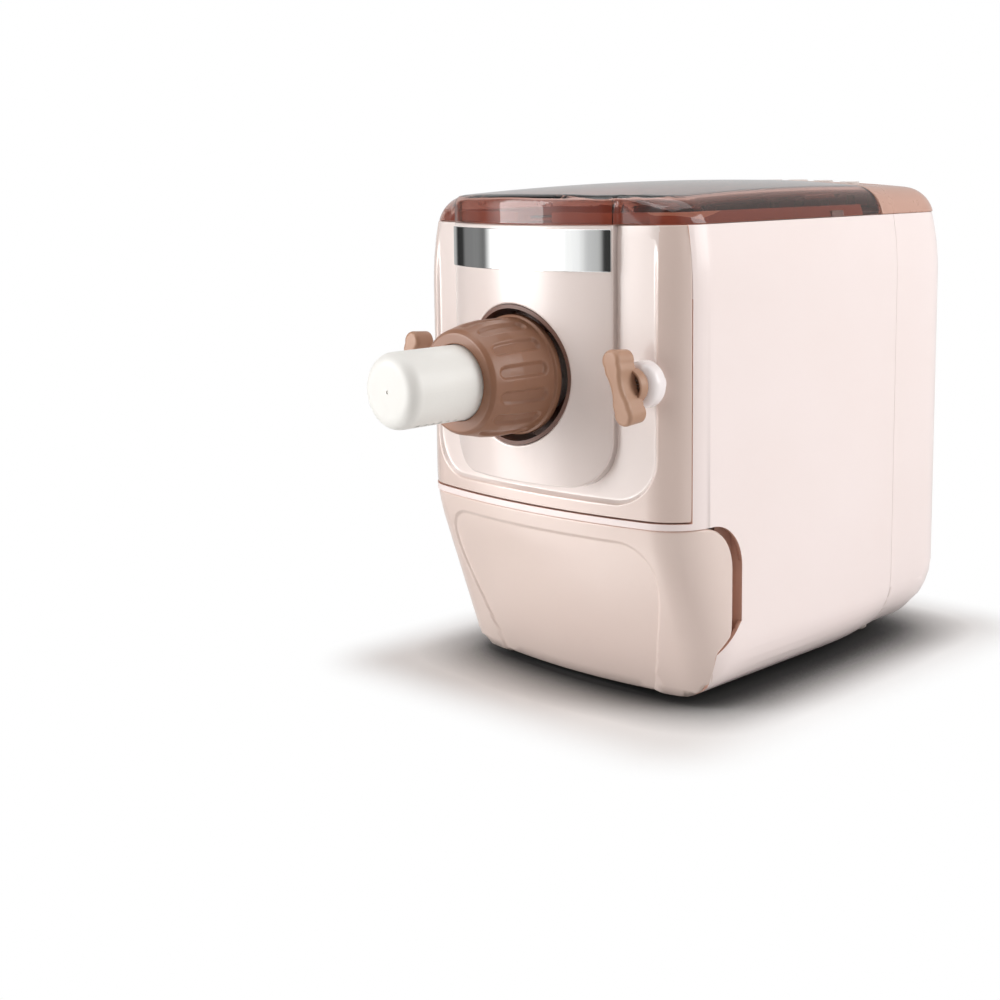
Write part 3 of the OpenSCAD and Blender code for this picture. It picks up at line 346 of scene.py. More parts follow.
def clear_of(points, loops, distance):
    """Which points are further than a distance from every loop's points."""
    at_once = 2000
    keep = np.ones(len(points), bool)
    for loop in loops:
        for chunk in np.array_split(np.arange(len(points)), max(1, len(points) // at_once)):
            gaps = np.linalg.norm(points[chunk, None, :] - loop[None, :, :], axis=2).min(axis=1)
            keep[chunk] &= gaps > distance
    return keep


def honeycomb(loop, step):
    """Points at the corners of equal triangles, over a loop's box."""
    low, high = loop.min(axis=0), loop.max(axis=0)
    rows = []
    for k, y in enumerate(np.arange(low[1], high[1], step * ROW_SPACING)):
        x = np.arange(low[0] + (k % 2) * step / 2, high[0], step)
        rows.append(np.stack((x, np.full(len(x), y)), 1))
    return np.concatenate(rows)


def ringed_grid(outline, line, offsets, every, step=6.0, clear=0.0):
    """A honeycomb that keeps clear of a line, with rows of points at offsets to the line's left."""
    grid = honeycomb(outline, step)
    rows = [grid[clear_of(grid, [line], clear)]]
    for offset in offsets:
        row = moved_left(line, offset)
        length = np.linalg.norm(np.diff(row, axis=0), axis=1).sum()
        rows.append(row[::max(1, int(len(row) * every / length))])
    return np.concatenate(rows)


# -------- meshes
def add_object(name, vertices, faces, normals=None):
    """A smooth object from vertices in millimetres. normals are one per corner of each face."""
    mesh = bpy.data.meshes.new(name)
    mesh.from_pydata((np.asarray(vertices) * MM).tolist(), [], [list(map(int, f)) for f in faces])
    mesh.update()
    mesh.polygons.foreach_set("use_smooth", [True] * len(mesh.polygons))
    if normals is not None:
        mesh.normals_split_custom_set([tuple(n) for n in normals])
    item = bpy.data.objects.new(name, mesh)
    bpy.context.collection.objects.link(item)
    return item


def unit(vectors):
    """The vectors at length 1."""
    return vectors / np.maximum(np.linalg.norm(vectors, axis=1), 1e-12)[:, None]


def surface_normals(surface, uv):
    """Normals of a surface at places of its drawing."""
    reach = 0.05
    across = surface(uv + (reach, 0.0)) - surface(uv - (reach, 0.0))
    along = surface(uv + (0.0, reach)) - surface(uv - (0.0, reach))
    return unit(np.cross(across, along))


def triangulated(name, loops, insets, grid):
    """A panel's flat drawing: its points, its triangles, and where the rings of each loop start.

    Every loop has one ring at each inset, and the grid fills the rest.
    """
    rows, edges, starts = [], [], []
    for loop in loops:
        for inset in insets:
            start = sum(len(row) for row in rows)
            rows.append(moved_left(loop, inset))
            starts.append(start)
            edges += [(start + k, start + (k + 1) % len(loop)) for k in range(len(loop))]
    rows.append(grid)
    drawing = np.concatenate(rows)
    points, _, triangles, *_ = delaunay_2d_cdt([Vector(p) for p in drawing], edges, [], 1, 1e-6, False)
    if len(points) != len(drawing):
        raise RuntimeError(f"{name}: points of its drawing fall together, {len(drawing)} to {len(points)}")
    points, triangles = np.array([tuple(p) for p in points]), np.array(triangles)
    return points, triangles[inside(points[triangles].mean(axis=1), loops)], starts


def panel(name, loops, surface, thickness, edge=0.5, step=6.0, fillet_steps=3, foot=None, grid=None):
    """A moulded panel on a curved surface.

    loops bound it in the surface's own drawing: the first is its outline and the others are holes. Its edges
    are rounded by edge, and its walls go in by thickness, or to foot(points, normals) where that is given.
    """
    tiny, out_step, margin = 1e-4, 0.2, edge + 0.45 * step
    loops = [loop if (loop_area(loop) > 0) == (i == 0) else loop[::-1] for i, loop in enumerate(loops)]
    angles = [math.pi / 2 * k / fillet_steps for k in range(fillet_steps + 1)]
    insets = [edge * (1 - math.cos(angle)) + (tiny if angle == 0 else 0) for angle in angles]
    if grid is None:
        grid = honeycomb(loops[0], step)
    grid = grid[inside(grid, loops)]
    grid = grid[clear_of(grid, loops, margin)]
    drawing, triangles, starts = triangulated(name, loops, insets, grid)
    top, up = surface(drawing), surface_normals(surface, drawing)
    sink, lean, walls = np.zeros(len(top)), up.copy(), []
    for n, loop in enumerate(loops):
        out = unit(surface(loop) - surface(moved_left(loop, out_step)))
        rings = starts[n * len(angles):(n + 1) * len(angles)]
        for angle, start in zip(angles, rings):
            ring = slice(start, start + len(loop))
            sink[ring] = edge * (1 - math.sin(angle))
            lean[ring] = math.cos(angle) * out + math.sin(angle) * up[ring]
        walls.append((rings[0], out))
    lean = unit(lean)
    points = top - up * sink[:, None]
    under = points - up * (thickness - sink)[:, None] if foot is None else foot(points, up)
    shift = len(points)
    faces = [tuple(triangle) for triangle in triangles]
    corners = [lean[i] for triangle in triangles for i in triangle]
    for start, out in walls:
        for k in range(len(out)):
            m = (k + 1) % len(out)
            faces.append((start + m, start + k, start + k + shift, start + m + shift))
            corners += [out[m], out[k], out[k], out[m]]
    faces += [(c + shift, b + shift, a + shift) for a, b, c in triangles]
    corners += [-up[i] for triangle in triangles for i in triangle[::-1]]
    return add_object(name, np.concatenate((points, under)), faces, corners)


def lathe(name, profile, axis_point, count, closed=True, radius=None):
    """Turns a profile of (distance along +Y, radius) round an axis parallel to Y.

    Edges sharper than 40 degrees stay hard. radius(angle, along, r) may shape the form.
    """
    angles = np.arange(count) * 2 * math.pi / count
    along = np.repeat(profile[:, 0], count)
    r = np.repeat(profile[:, 1], count)
    a = np.tile(angles, len(profile))
    if radius is not None:
        r = radius(a, along, r)
    x, y, z = axis_point
    vertices = np.stack((x + r * np.sin(a), y + along, z + r * np.cos(a)), 1)
    faces = []
    for i in range(len(profile) if closed else len(profile) - 1):
        j = (i + 1) % len(profile)
        for k in range(count):
            m = (k + 1) % count
            faces.append((i * count + k, i * count + m, j * count + m, j * count + k))
    item = add_object(name, vertices, faces)
    item.data.set_sharp_from_angle(angle=math.radians(40))
    return item


def stands_for(piece, slot, body, *nodes, material=None):
    """Colours a piece by its slot or a named material, puts it on its body and hides the nodes it replaces.
    """
    piece.data.materials.append(MATERIALS[material or slot])
    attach(piece, body)
    if nodes:
        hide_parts(*nodes)
    return piece


# -------- the machine's main lines, in millimetres
HOUSING_LOW, HOUSING_HIGH = box_mm("main_housing")
PANEL_LOW, PANEL_HIGH = box_mm("front_panel")
PLATE_LOW, PLATE_HIGH = box_mm("centre_plate")
NUT_LOW, NUT_HIGH = box_mm("lock_nut")

# Body: half its width, seam to the rear cover, upper edge, lower edge, front and rear
HALF, COVER_Y, TOP = HOUSING_HIGH
BASE = HOUSING_LOW[2]
FRONT, REAR = PANEL_LOW[1], box_mm("rear_cover")[1][1]
WALL = 2.6
SEAM = 0.3
BOW_R, FRONT_R, REAR_R, LOWER_R, TOE_R = 393.0, 30.0, 32.0, 36.0, 4.0
BOW_Y = FRONT + BOW_R
CORNER = np.array((HALF - FRONT_R, BOW_Y - math.sqrt((BOW_R - FRONT_R) ** 2 - (HALF - FRONT_R) ** 2)))
REAR_CORNER = np.array((HALF - REAR_R, REAR - REAR_R))

# The drawer's front leans back below LEAN_TOP, and the body draws in above PULL_FROM
LEAN, LEAN_TOP, LEAN_BLEND = math.radians(20.0), PANEL_LOW[2] - 10.0, 6.0
PULL, PULL_FROM = 3.6, 238.0

# The edge at the body's lower rear is rounder than at its sides
TUCK_R, TUCK_Y, TUCK_BLEND = 47.0, REAR - 130.0, 80.0

# Recess in the front, and the bowed plate in it, whose sides lie PLATE_EDGE_D behind the front
RECESS_D, RECESS_SLOPE = 2.6, 3.4
RECESS_R, RECESS_HALF, RECESS_LOW, RECESS_CORNER = BOW_R - RECESS_D, HALF - 17.0, 122.0, 28.0
PLATE_FRONT, PLATE_HALF, PLATE_BOTTOM, PLATE_R = PLATE_LOW[1], PLATE_HIGH[0], PLATE_LOW[2], 28.0
PLATE_EDGE_D = 3.4
PLATE_SAG = FRONT + PLATE_EDGE_D - PLATE_FRONT
PLATE_BOW = (PLATE_HALF ** 2 + PLATE_SAG ** 2) / (2 * PLATE_SAG)
PLATE_BOW_Y = PLATE_FRONT + PLATE_BOW
NOZZLE_Z = float(np.mean([NUT_LOW[2], NUT_HIGH[2]]))
PORT_R = 40.4

# Crown of the lid and the rear deck, whose edge is sharper over the plate
CROWN = box_mm("lid_shell")[1][2]
CROWN_Y, CROWN_LONG_R, CROWN_CROSS_R = 60.0, 2400.0, 900.0
CROWN_SHARP_R, CROWN_BLUNT_R = 4.5, 18.0

# Right half of the soft facet on the drawer's front: x, z and rounding
FACET = [(81.0, 102.0, 20.0), (81.5, 70.0, 60.0), (57.0, -10.0, 0.0)]
FACET_D, FACET_SLOPE, FACET_REACH, FACET_FADE = 1.5, 2.4, 12.0, 8.0


def smooth(t):
    """A soft step from 0 to 1."""
    t = np.clip(t, 0.0, 1.0)
    return t * t * (3 - 2 * t)


def round_max(a, b, r):
    """The larger of two fields, with the edge between them rounded by r."""
    return np.minimum(np.maximum(a, b), -r) + np.hypot(np.maximum(a + r, 0), np.maximum(b + r, 0))


def soft_min(a, b, k):
    """The smaller of two values, blended over k."""
    h = np.maximum(k - np.abs(a - b), 0) / k
    return np.minimum(a, b) - h * h * k / 4


def both_sides(right):
    """A symmetric outline's corners, from the upper left, by those of its right half."""
    left = [(-x, z, r) for x, z, r in right]
    return left[:1] + right + left[:0:-1]


# -------- fields: distances outside a form
def front_field(x, y):
    """The bowed front with its round corners, and the sides."""
    ax = np.abs(x)
    bow = np.hypot(x, y - BOW_Y) - BOW_R
    corner = np.hypot(ax - CORNER[0], y - CORNER[1]) - FRONT_R
    past_bow = CORNER[0] * (y - BOW_Y) - (CORNER[1] - BOW_Y) * ax > 0
    return np.where(past_bow & (y < CORNER[1]), corner, np.maximum(bow, ax - HALF))


def rear_field(x, y):
    """The flat rear with its round corners, and the sides."""
    ax = np.abs(x)
    corner = np.hypot(ax - REAR_CORNER[0], y - REAR_CORNER[1]) - REAR_R
    return np.where((ax > REAR_CORNER[0]) & (y > REAR_CORNER[1]), corner, np.maximum(ax - HALF, y - REAR))


def plan_field(x, y):
    """The body seen from above."""
    return np.maximum(front_field(x, y), rear_field(x, y))


def plan_direction(x, y, step):
    """Unit direction straight out of the plan."""
    across = (plan_field(x + step, y) - plan_field(x - step, y)) / (2 * step)
    along = (plan_field(x, y + step) - plan_field(x, y - step)) / (2 * step)
    size = np.maximum(np.hypot(across, along), 1e-9)
    return across / size, along / size


def pull(z):
    """How far the body draws in towards its upper edge."""
    return PULL * np.clip((z - PULL_FROM) / (TOP - PULL_FROM), 0, 1.05) ** 2


def leaned(y, z):
    """Where a place on the leaning lower front lies in the upright front's plan."""
    return FRONT + (y - FRONT) * math.cos(LEAN) + (z - LEAN_TOP) * math.sin(LEAN)


def body_field(x, y, z):
    """The whole body below the lid."""
    lower = round_max(rear_field(x, y), BASE - z, LOWER_R)
    front = front_field(x, soft_min(y, leaned(y, z), LEAN_BLEND))
    return np.maximum(lower, round_max(front, BASE - z, TOE_R)) + pull(z)


def recess_field(x, z):
    """The outline of the front's recess, seen from the front."""
    ax = np.abs(x)
    corner = np.hypot(ax - RECESS_HALF + RECESS_CORNER, RECESS_LOW + RECESS_CORNER - z) - RECESS_CORNER
    in_corner = (ax > RECESS_HALF - RECESS_CORNER) & (z < RECESS_LOW + RECESS_CORNER)
    return np.where(in_corner, corner, np.maximum(ax - RECESS_HALF, RECESS_LOW - z))


def loop_field(points, loop):
    """Distance to a loop, negative inside it."""
    ahead = np.roll(loop, -1, axis=0) - loop
    best = np.full(len(points), np.inf)
    for start, step in zip(loop, ahead):
        along = np.clip(((points - start) @ step) / (step @ step), 0, 1)
        best = np.minimum(best, np.linalg.norm(points - start - along[:, None] * step, axis=1))
    return np.where(inside(points, [loop]), -best, best)


def front_panel_field(x, y, z):
    """The body with the shallow, soft-edged recess in its front."""
    body = body_field(x, y, z)
    floor = np.hypot(x, y - BOW_Y) - RECESS_R
    share = smooth(-recess_field(x, z) / RECESS_SLOPE)
    return body * (1 - share) + np.maximum(body, floor) * share


def drawer_field(x, y, z):
    """The body with the shallow facet on the drawer's leaning front."""
    flat = loop_field(np.stack((x, z), 1), rounded_loop(both_sides(FACET), 4.0))
    facing = smooth((CORNER[1] + FACET_REACH - leaned(y, z)) / FACET_FADE)
    return body_field(x, y, z) + FACET_D * smooth(-flat / FACET_SLOPE) * facing


def sag_along(y):
    """How far the crown falls away along the machine."""
    return (y - CROWN_Y) ** 2 / (2 * CROWN_LONG_R)


def sag_across(x):
    """How far the crown falls away across the machine."""
    return x ** 2 / (2 * CROWN_CROSS_R)


def top_field(x, y, z):
    """Lid and rear deck as one form, with the bump over the centre plate."""
    bump_d, bump_blend = 40.0, 2.0
    sharp_half, half_blend, sharp_d, d_blend = 58.0, 26.0, 14.0, 30.0
    bump = np.maximum(np.hypot(x, y - PLATE_BOW_Y) - PLATE_BOW, np.abs(x) - PLATE_HALF)
    bump = np.maximum(bump, y - FRONT - bump_d)
    side = soft_min(plan_field(x, y) + PULL, bump, bump_blend)
    blunt = smooth(np.maximum((np.abs(x) - sharp_half) / half_blend, (y - FRONT - sharp_d) / d_blend))
    edge_r = CROWN_SHARP_R + (CROWN_BLUNT_R - CROWN_SHARP_R) * blunt
    return round_max(side, z - (CROWN - sag_along(y) - sag_across(x)), edge_r)


# -------- surfaces: from a flat drawing to points
def march(field, start, direction, reach):
    """Where rays from inside a form leave it."""
    halvings = 34
    near, far = np.zeros(len(start)), np.full(len(start), float(reach))
    for _ in range(halvings):
        middle = (near + far) / 2
        at = start + direction * middle[:, None]
        within = field(at[:, 0], at[:, 1], at[:, 2]) < 0
        near, far = np.where(within, middle, near), np.where(within, far, middle)
    return start + direction * near[:, None]


def plan_outline():
    """Right half of the plan, from front to rear: places, outward normals and lengths."""
    spread, quarter = math.asin(CORNER[0] / (BOW_R - FRONT_R)), math.pi / 2
    places, normals = [], []
    for centre, radius, angles in (((0.0, BOW_Y), BOW_R, np.linspace(0, spread, 60)),
                                   (CORNER, FRONT_R, np.linspace(spread, quarter, 90)[1:]),
                                   (REAR_CORNER, REAR_R, np.linspace(quarter, 2 * quarter, 60))):
        outward = np.stack((np.sin(angles), -np.cos(angles)), 1)
        places.append(centre + radius * outward)
        normals.append(outward)
    places = np.concatenate(places + [[(-1.0, REAR)]])
    normals = np.concatenate(normals + [[(0.0, 1.0)]])
    lengths = np.concatenate(([0.0], np.cumsum(np.linalg.norm(np.diff(places, axis=0), axis=1))))
    return places, normals, lengths


PLACES, NORMALS, LENGTHS = plan_outline()


def on_outline(u):
    """Plan place and outward normal at a length along the outline; negative lengths are on the left."""
    sign = np.where(u < 0, -1.0, 1.0)
    a = np.abs(u)
    x, y = (np.interp(a, LENGTHS, PLACES[:, k]) for k in (0, 1))
    nx, ny = (np.interp(a, LENGTHS, NORMALS[:, k]) for k in (0, 1))
    size = np.hypot(nx, ny)
    return np.stack((sign * x, y), 1), np.stack((sign * nx / size, ny / size), 1)


def length_at(y):
    """Length along the outline to a place on the right, from its Y."""
    return float(np.interp(y, PLACES[:-1, 1], LENGTHS[:-1]))


def length_across(x):
    """Length along the outline to a place on the right of the front, from its X."""
    rising = int(np.argmax(PLACES[:, 0] > HALF - 0.01))
    return float(np.interp(x, PLACES[:rising, 0], LENGTHS[:rising]))


def wrapped(field, lean=False):
    """A surface round the body: u runs along the plan's outline, and v up from below the rounded base."""
    turn_z, depth, reach = BASE + LOWER_R, 20.0, 70.0

    def surface(uv):
        place, normal = on_outline(uv[:, 0])
        v = uv[:, 1]
        level = np.maximum(v, turn_z)
        y = place[:, 1].copy()
        if lean:
            below = np.maximum(LEAN_TOP - level, 0)
            y = np.where(below > 0, FRONT + (y - FRONT) / math.cos(LEAN) + below * math.tan(LEAN), y)
        inset = np.where(v < turn_z, LOWER_R, depth)
        angle = np.maximum(turn_z - v, 0) / LOWER_R
        start = np.stack((place[:, 0] - inset * normal[:, 0], y - inset * normal[:, 1], level), 1)
        direction = np.stack((normal[:, 0] * np.cos(angle), normal[:, 1] * np.cos(angle), -np.sin(angle)), 1)
        return march(field, start, direction, reach)
    return surface


TOP_INSET, TOP_BEND, TOP_DROP, TOP_LIFT = 18.0, 28.0, 2.0, 1.4
LID_LOW = TOP + SEAM
# How far the lid's and the deck's drawing reaches beyond the plan
RIM = TOP_BEND + TOP_DROP - TOP_INSET


def top_surface(xy):
    """Lid and deck: the drawing is their plan, stretched round the edge by the length of the rounding."""
    x, y = xy[:, 0], xy[:, 1]
    reach = np.maximum(plan_field(x, y) + TOP_INSET, 0)
    gx, gy = plan_direction(x, y, step=0.02)
    angle = np.minimum(reach / TOP_BEND, 1.0) * math.pi / 2
    down = np.clip((reach - TOP_BEND) / TOP_DROP, 0, 1)
    start = np.stack((x - gx * reach, y - gy * reach, LID_LOW + TOP_LIFT * (1 - down)), 1)
    direction = np.stack((gx * np.sin(angle), gy * np.sin(angle), np.cos(angle)), 1)
    return march(top_field, start, direction, reach=60.0)


def on_arc(middle_y, radius):
    """A surface on an upright cylinder; u is the length round it and v the height."""
    def surface(uv):
        a = uv[:, 0] / radius
        return np.stack((radius * np.sin(a), middle_y - radius * np.cos(a), uv[:, 1]), 1)
    return surface


def arc_length(x, radius):
    """Length round a cylinder to a place x beside its middle."""
    return radius * math.asin(x / radius)


# -------- packed forms, moved to the free-form body
def inset_at(z, radius):
    """How far an edge rounded by radius has drawn in at a height."""
    rise = max(radius - max(z - BASE, 0.0), 0.0)
    return radius - math.sqrt(radius ** 2 - rise ** 2)


def tucked(x, y, z):
    """A place on the body's lower rear, moved in to an edge that is rounded all the way round."""
    share = float(smooth((y - TUCK_Y) / TUCK_BLEND))
    radius = LOWER_R + (TUCK_R - LOWER_R) * share
    inset = inset_at(z, radius)
    off = float(plan_field(x, y))
    if share <= 0 or z >= BASE + radius or off < -WALL / 2 - LOWER_R or off < -inset - WALL:
        return x, y
    # The wall's inner face keeps its distance from the outer one
    wall = WALL if off <= -inset_at(z, LOWER_R) - WALL / 2 else 0.0
    move = max(off + inset + wall, 0.0) * share
    across, along = plan_direction(x, y, step=0.05)
    return x - move * float(across), y - move * float(along)


def body_form(x, y, z, front_share=0.0):
    """A place of the body drawn in towards the top, with the rounder edge at the lower rear."""
    front_d = 60.0
    x, y = tucked(x, y, z)
    amount = float(pull(z))
    from_rear = float(smooth((y - COVER_Y) / (REAR_CORNER[1] - COVER_Y)))
    from_front = front_share * float(smooth(-y / front_d))
    return x - amount * x / HALF, y - amount * from_rear + amount * from_front, z


def lid_frame_form(x, y, z):
    """A place of the lid's inner frame, drawn in at the front as well."""
    return body_form(x, y, z, front_share=1.2)


def panel_form(x, y, z):
    """A place of the control panel, let down to the deck's crown that curves both ways."""
    return x, y, z - min(sag_along(y), sag_across(x))


def reformed(node, slot, body, cuts, form_of):
    """A node's form with its places moved, as a piece of its own. cuts are planes that split it first."""
    form = bmesh.new()
    form.from_mesh(frame["nodes"][node].data)
    bmesh.ops.remove_doubles(form, verts=form.verts, dist=0.001 * MM)
    for axis, places in cuts:
        normal = [float(k == axis) for k in range(3)]
        for place in places:
            everything = form.verts[:] + form.edges[:] + form.faces[:]
            at = Vector(normal) * (place * MM)
            bmesh.ops.bisect_plane(form, geom=everything, plane_co=at, plane_no=normal)
    for vertex in form.verts:
        vertex.co = Vector(form_of(*(vertex.co / MM))) * MM
    mesh = bpy.data.meshes.new(node + "_form")
    form.to_mesh(mesh)
    form.free()
    mesh.polygons.foreach_set("use_smooth", [True] * len(mesh.polygons))
    mesh.set_sharp_from_angle(angle=math.radians(30))
    piece = bpy.data.objects.new(node + "_form", mesh)
    bpy.context.collection.objects.link(piece)
    return stands_for(piece, slot, body, node)


def paint_groove_shade(housing):
    """The groove's walls round the drawer's wings get painted shade: brown, as shade with pinkish bounce
    light.
    """
    outer_d, groove_d = 0.9, 12.0
    housing.data.materials.append(MATERIALS["groove_painted_shade"])
    places = np.array([vertex.co for vertex in housing.data.vertices]) / MM
    depth = -body_field(places[:, 0], places[:, 1], places[:, 2])
    for face in housing.data.polygons:
        corners = list(face.vertices)
        in_groove = depth[corners].max() > outer_d and depth[corners].min() < groove_d
        if in_groove and places[corners, 1].max() < 0:
            face.material_index = 1


def make_body():
    """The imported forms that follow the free-form body."""
    upper = [(2, np.linspace(PULL_FROM, TOP, 9)[:-1])]
    lower = [(2, [BASE + rise for rise in (0.6, 2, 4, 7, 11, 16, 22, 29, 37, 45)])]
    along = [(1, np.linspace(TUCK_Y, REAR - REAR_R, 9))]
    paint_groove_shade(reformed("main_housing", "body_white", "machine", upper + lower + along, body_form))
    reformed("rear_cover", "body_white", "machine", upper + lower + along, body_form)
    reformed("inner_deck", "inner_tan", "machine", upper + lower, body_form)
    reformed("lid_inner_frame", "inner_tan", "lid", upper + lower, lid_frame_form)
    crown = [(0, range(-64, 65, 8)), (1, range(138, 173, 6))]
    reformed("control_panel", "panel_dark", "machine", crown, panel_form)


# -------- front
def make_front_panel():
    """The pearl front with its recess, round which a band is painted darker as shade."""
    side, low, corner_r, shade_band_inset = length_at(PANEL_HIGH[1]), PANEL_LOW[2] + 0.5, 1.4, 1.2
    outline = bib_loop(side, low, corner_r, TOP, 3.0, corner_r)
    hole = circle_loop(0, NOZZLE_Z, PORT_R + 3)
    recess = bib_loop(length_across(RECESS_HALF), RECESS_LOW, RECESS_CORNER, TOP + 30, 1.6)
    offsets = (-5, -3.2, -1.6, -0.6, 0.2, 0.9, 1.7, 2.5, 3.3, 4.4, 6.0)
    grid = ringed_grid(outline, recess, offsets, every=1.7, clear=6.0)
    surface = wrapped(front_panel_field)
    piece = panel("front_panel_shell", [outline, hole], surface, WALL, edge=0.7, step=4.0, grid=grid)
    stands_for(piece, "front_pearl", "machine", "front_panel")
    # Faces round the recess take the darker copy, which paints shade on the lip and the corner
    piece.data.materials.append(MATERIALS["front_band_painted_shade"])
    for face in piece.data.polygons:
        x, _, z = face.center / MM
        if recess_field(x, z) > -shade_band_inset:
            face.material_index = 1


def make_centre_plate():
    """The raised, bowed plate with the round port."""
    outline = bib_loop(arc_length(PLATE_HALF, PLATE_BOW), PLATE_BOTTOM, PLATE_R, TOP, 2.0)
    hole = circle_loop(0, NOZZLE_Z, PORT_R, 120)

    def to_recess(points, up):
        under = points.copy()
        floor = BOW_Y - np.sqrt(RECESS_R ** 2 - points[:, 0] ** 2)
        under[:, 1] = np.maximum(floor + 1.4, points[:, 1] + 0.5)
        return under
    arc = on_arc(PLATE_BOW_Y, PLATE_BOW)
    piece = panel("centre_plate_shell", [outline, hole], arc, WALL, edge=1.3, fillet_steps=5, foot=to_recess)
    stands_for(piece, "front_pearl", "machine", "centre_plate")


def make_chrome_strip():
    """The bright strip across the top of the plate."""
    low, high = box_mm("chrome_strip")
    radius, corner_r, strip_d = PLATE_BOW + PLATE_FRONT - low[1], 0.8, 0.8
    outline = bib_loop(arc_length(high[0], radius), low[2], corner_r, high[2], 3.0, corner_r)
    piece = panel("chrome_strip_shell", [outline], on_arc(PLATE_BOW_Y, radius), strip_d, edge=0.35, step=5.0)
    stands_for(piece, "chrome", "machine", "chrome_strip")


_, (_, WING_Y, DRAWER_TOP) = box_mm("drawer_front")
WING_R = 27.0
KNEE_Z, TOE_Z, TOE_Y = 45.0, 34.0, FRONT + 48.0


def drawer_place(y, z):
    """Where a place on the drawer's side lies in the wrapped drawing."""
    turn_z = BASE + LOWER_R
    shift = max(LEAN_TOP - max(z, turn_z), 0.0)
    plan_y = FRONT + (y - FRONT - shift * math.tan(LEAN)) * math.cos(LEAN) if z < LEAN_TOP else y
    v = z if z >= turn_z else turn_z - LOWER_R * math.asin(min((turn_z - z) / LOWER_R, 1))
    return length_at(plan_y), v


def drawer_outline():
    """The drawer's front with its side wings, which step forward below the knee."""
    side = [(WING_Y - WING_R + WING_R * math.sin(a), DRAWER_TOP - WING_R + WING_R * math.cos(a))
            for a in np.linspace(0, math.pi / 2, 12)]
    side += [(WING_Y, z) for z in np.arange(DRAWER_TOP - 30, KNEE_Z + 2, -3.0)]
    side += [(WING_Y + (TOE_Y - WING_Y) * t, KNEE_Z + (TOE_Z - KNEE_Z) * t) for t in (0.1, 0.5, 0.9)]
    side += [(TOE_Y, z) for z in np.arange(TOE_Z - 2, BASE + 3, -3.0)]
    right = [drawer_place(y, z) for y, z in side]
    right.append((right[-1][0] - 2.0, right[-1][1] - 1.0))
    right = np.array(right)
    return dense(np.concatenate((right[::-1], right * (-1, 1))), 3.0)


def make_drawer_front():
    """The leaning front of the drawer, with its soft facet."""
    loop = drawer_outline()
    facet = rounded_loop(both_sides([(length_across(x), max(z, 0.0), r) for x, z, r in FACET]), 1.8)
    facet = facet if loop_area(facet) > 0 else facet[::-1]
    grid = ringed_grid(loop, facet, (-4, -2.4, -1.2, -0.3, 0.5, 1.3, 2.1, 3.1, 4.6), every=1.9, clear=5.0)
    surface, wall = wrapped(drawer_field, lean=True), 3.0
    piece = panel("drawer_shell", [loop], surface, wall, edge=1.6, step=4.0, fillet_steps=4, grid=grid)
    stands_for(piece, "front_pearl", "drawer", "drawer_front", material="drawer_pearl")


# -------- lid and rear deck
HINGE_Y = float(np.mean([corner[1] for corner in box_mm("hinge_pins")]))
LID_REAR, DECK_FRONT = HINGE_Y + 6.5, HINGE_Y + 7.3


def hinge_foot(edge_y):
    """The undersides of lid and deck draw back at their seam, and so stay clear of each other."""
    reach, draw_back, level, blend = 10.0, 2.2, 0.3, 0.5

    def foot(points, up):
        under = points - up * WALL
        near = smooth(1 - np.abs(points[:, 1] - edge_y) / reach)
        under[:, 1] += draw_back * near * smooth((up[:, 2] - level) / blend)
        return under
    return foot


def plan_ring():
    """Right half of the plan in the stretched drawing, from front to rear."""
    places, normals = on_outline(np.arange(0, LENGTHS[-1], 1.5))
    return places + normals * RIM


def mirrored_ring(half):
    """A closed loop from the right half of an outline."""
    half = half[half[:, 0] > 0.4]
    return dense(np.concatenate((half, half[::-1] * (-1, 1))), 2.5)


def make_lid():
    """The smoked lid over the mixing chamber."""
    ring, corner_r = plan_ring(), 5.0
    ring = ring[ring[:, 1] < LID_REAR - corner_r - 1]
    arc = [(ring[-1, 0] - corner_r + corner_r * math.cos(a), LID_REAR - corner_r + corner_r * math.sin(a))
           for a in np.linspace(0, math.pi / 2, 7)]
    loop = mirrored_ring(np.concatenate((ring, arc, [(0.5, LID_REAR)])))
    offsets = (1.2, 2.4, 3.8, 5.4, 7.2, 9.2, 11.4, 13.8, 16.4, 19.2)
    grid = ringed_grid(loop, loop, offsets, every=3.2, step=5.0)
    piece = panel("lid_cover", [loop], top_surface, WALL, edge=0.9, step=1.6, fillet_steps=4,
                  foot=hinge_foot(LID_REAR), grid=grid)
    stands_for(piece, "lid_smoke", "lid", "lid_shell")


def make_rear_deck():
    """The light brown top behind the lid, with the control panel's opening."""
    ring, chamfer, corner_r, reveal = plan_ring(), 0.8, 1.5, 0.4
    ring = ring[ring[:, 1] > DECK_FRONT + 1.5]
    edge = [(0.5, DECK_FRONT), (HALF + RIM - chamfer, DECK_FRONT), (HALF + RIM, DECK_FRONT + chamfer)]
    loop = mirrored_ring(np.concatenate((edge, ring)))
    low, high = box_mm("control_panel")
    opening = bib_loop(high[0] + reveal, low[1] - reveal, corner_r, high[1] + reveal, 3.0, corner_r)
    piece = panel("rear_deck_shell", [loop, opening], top_surface, WALL, edge=0.9, step=4.0, fillet_steps=4,
                  foot=hinge_foot(DECK_FRONT))
    stands_for(piece, "deck_tan", "machine", "rear_deck")


# -------- nozzle and clamp knobs
NUT_L, NUT_R, NUT_RIM_R, NUT_BORE_R = NUT_HIGH[1] - NUT_LOW[1], 33.0, 34.4, 21.4
FLUTES, FLUTE_HALF, FLUTE_D = 14, 4.6, 1.7


def flute_shape(a, along, r):
    """Shallow finger flutes with rounded ends round the nut's outside."""
    first, last, blend, inner_r, face_l = 9.6, NUT_L - 13.5, 2.2, 25.0, 3.0
    pitch = 2 * math.pi / FLUTES
    off = ((a + pitch / 2) % pitch - pitch / 2) * NUT_R
    beyond = np.maximum(np.maximum(first - along, along - last), 0)
    within = FLUTE_HALF - np.hypot(off, beyond)
    return np.where((r > inner_r) & (along > face_l), r - FLUTE_D * smooth(within / blend), r)


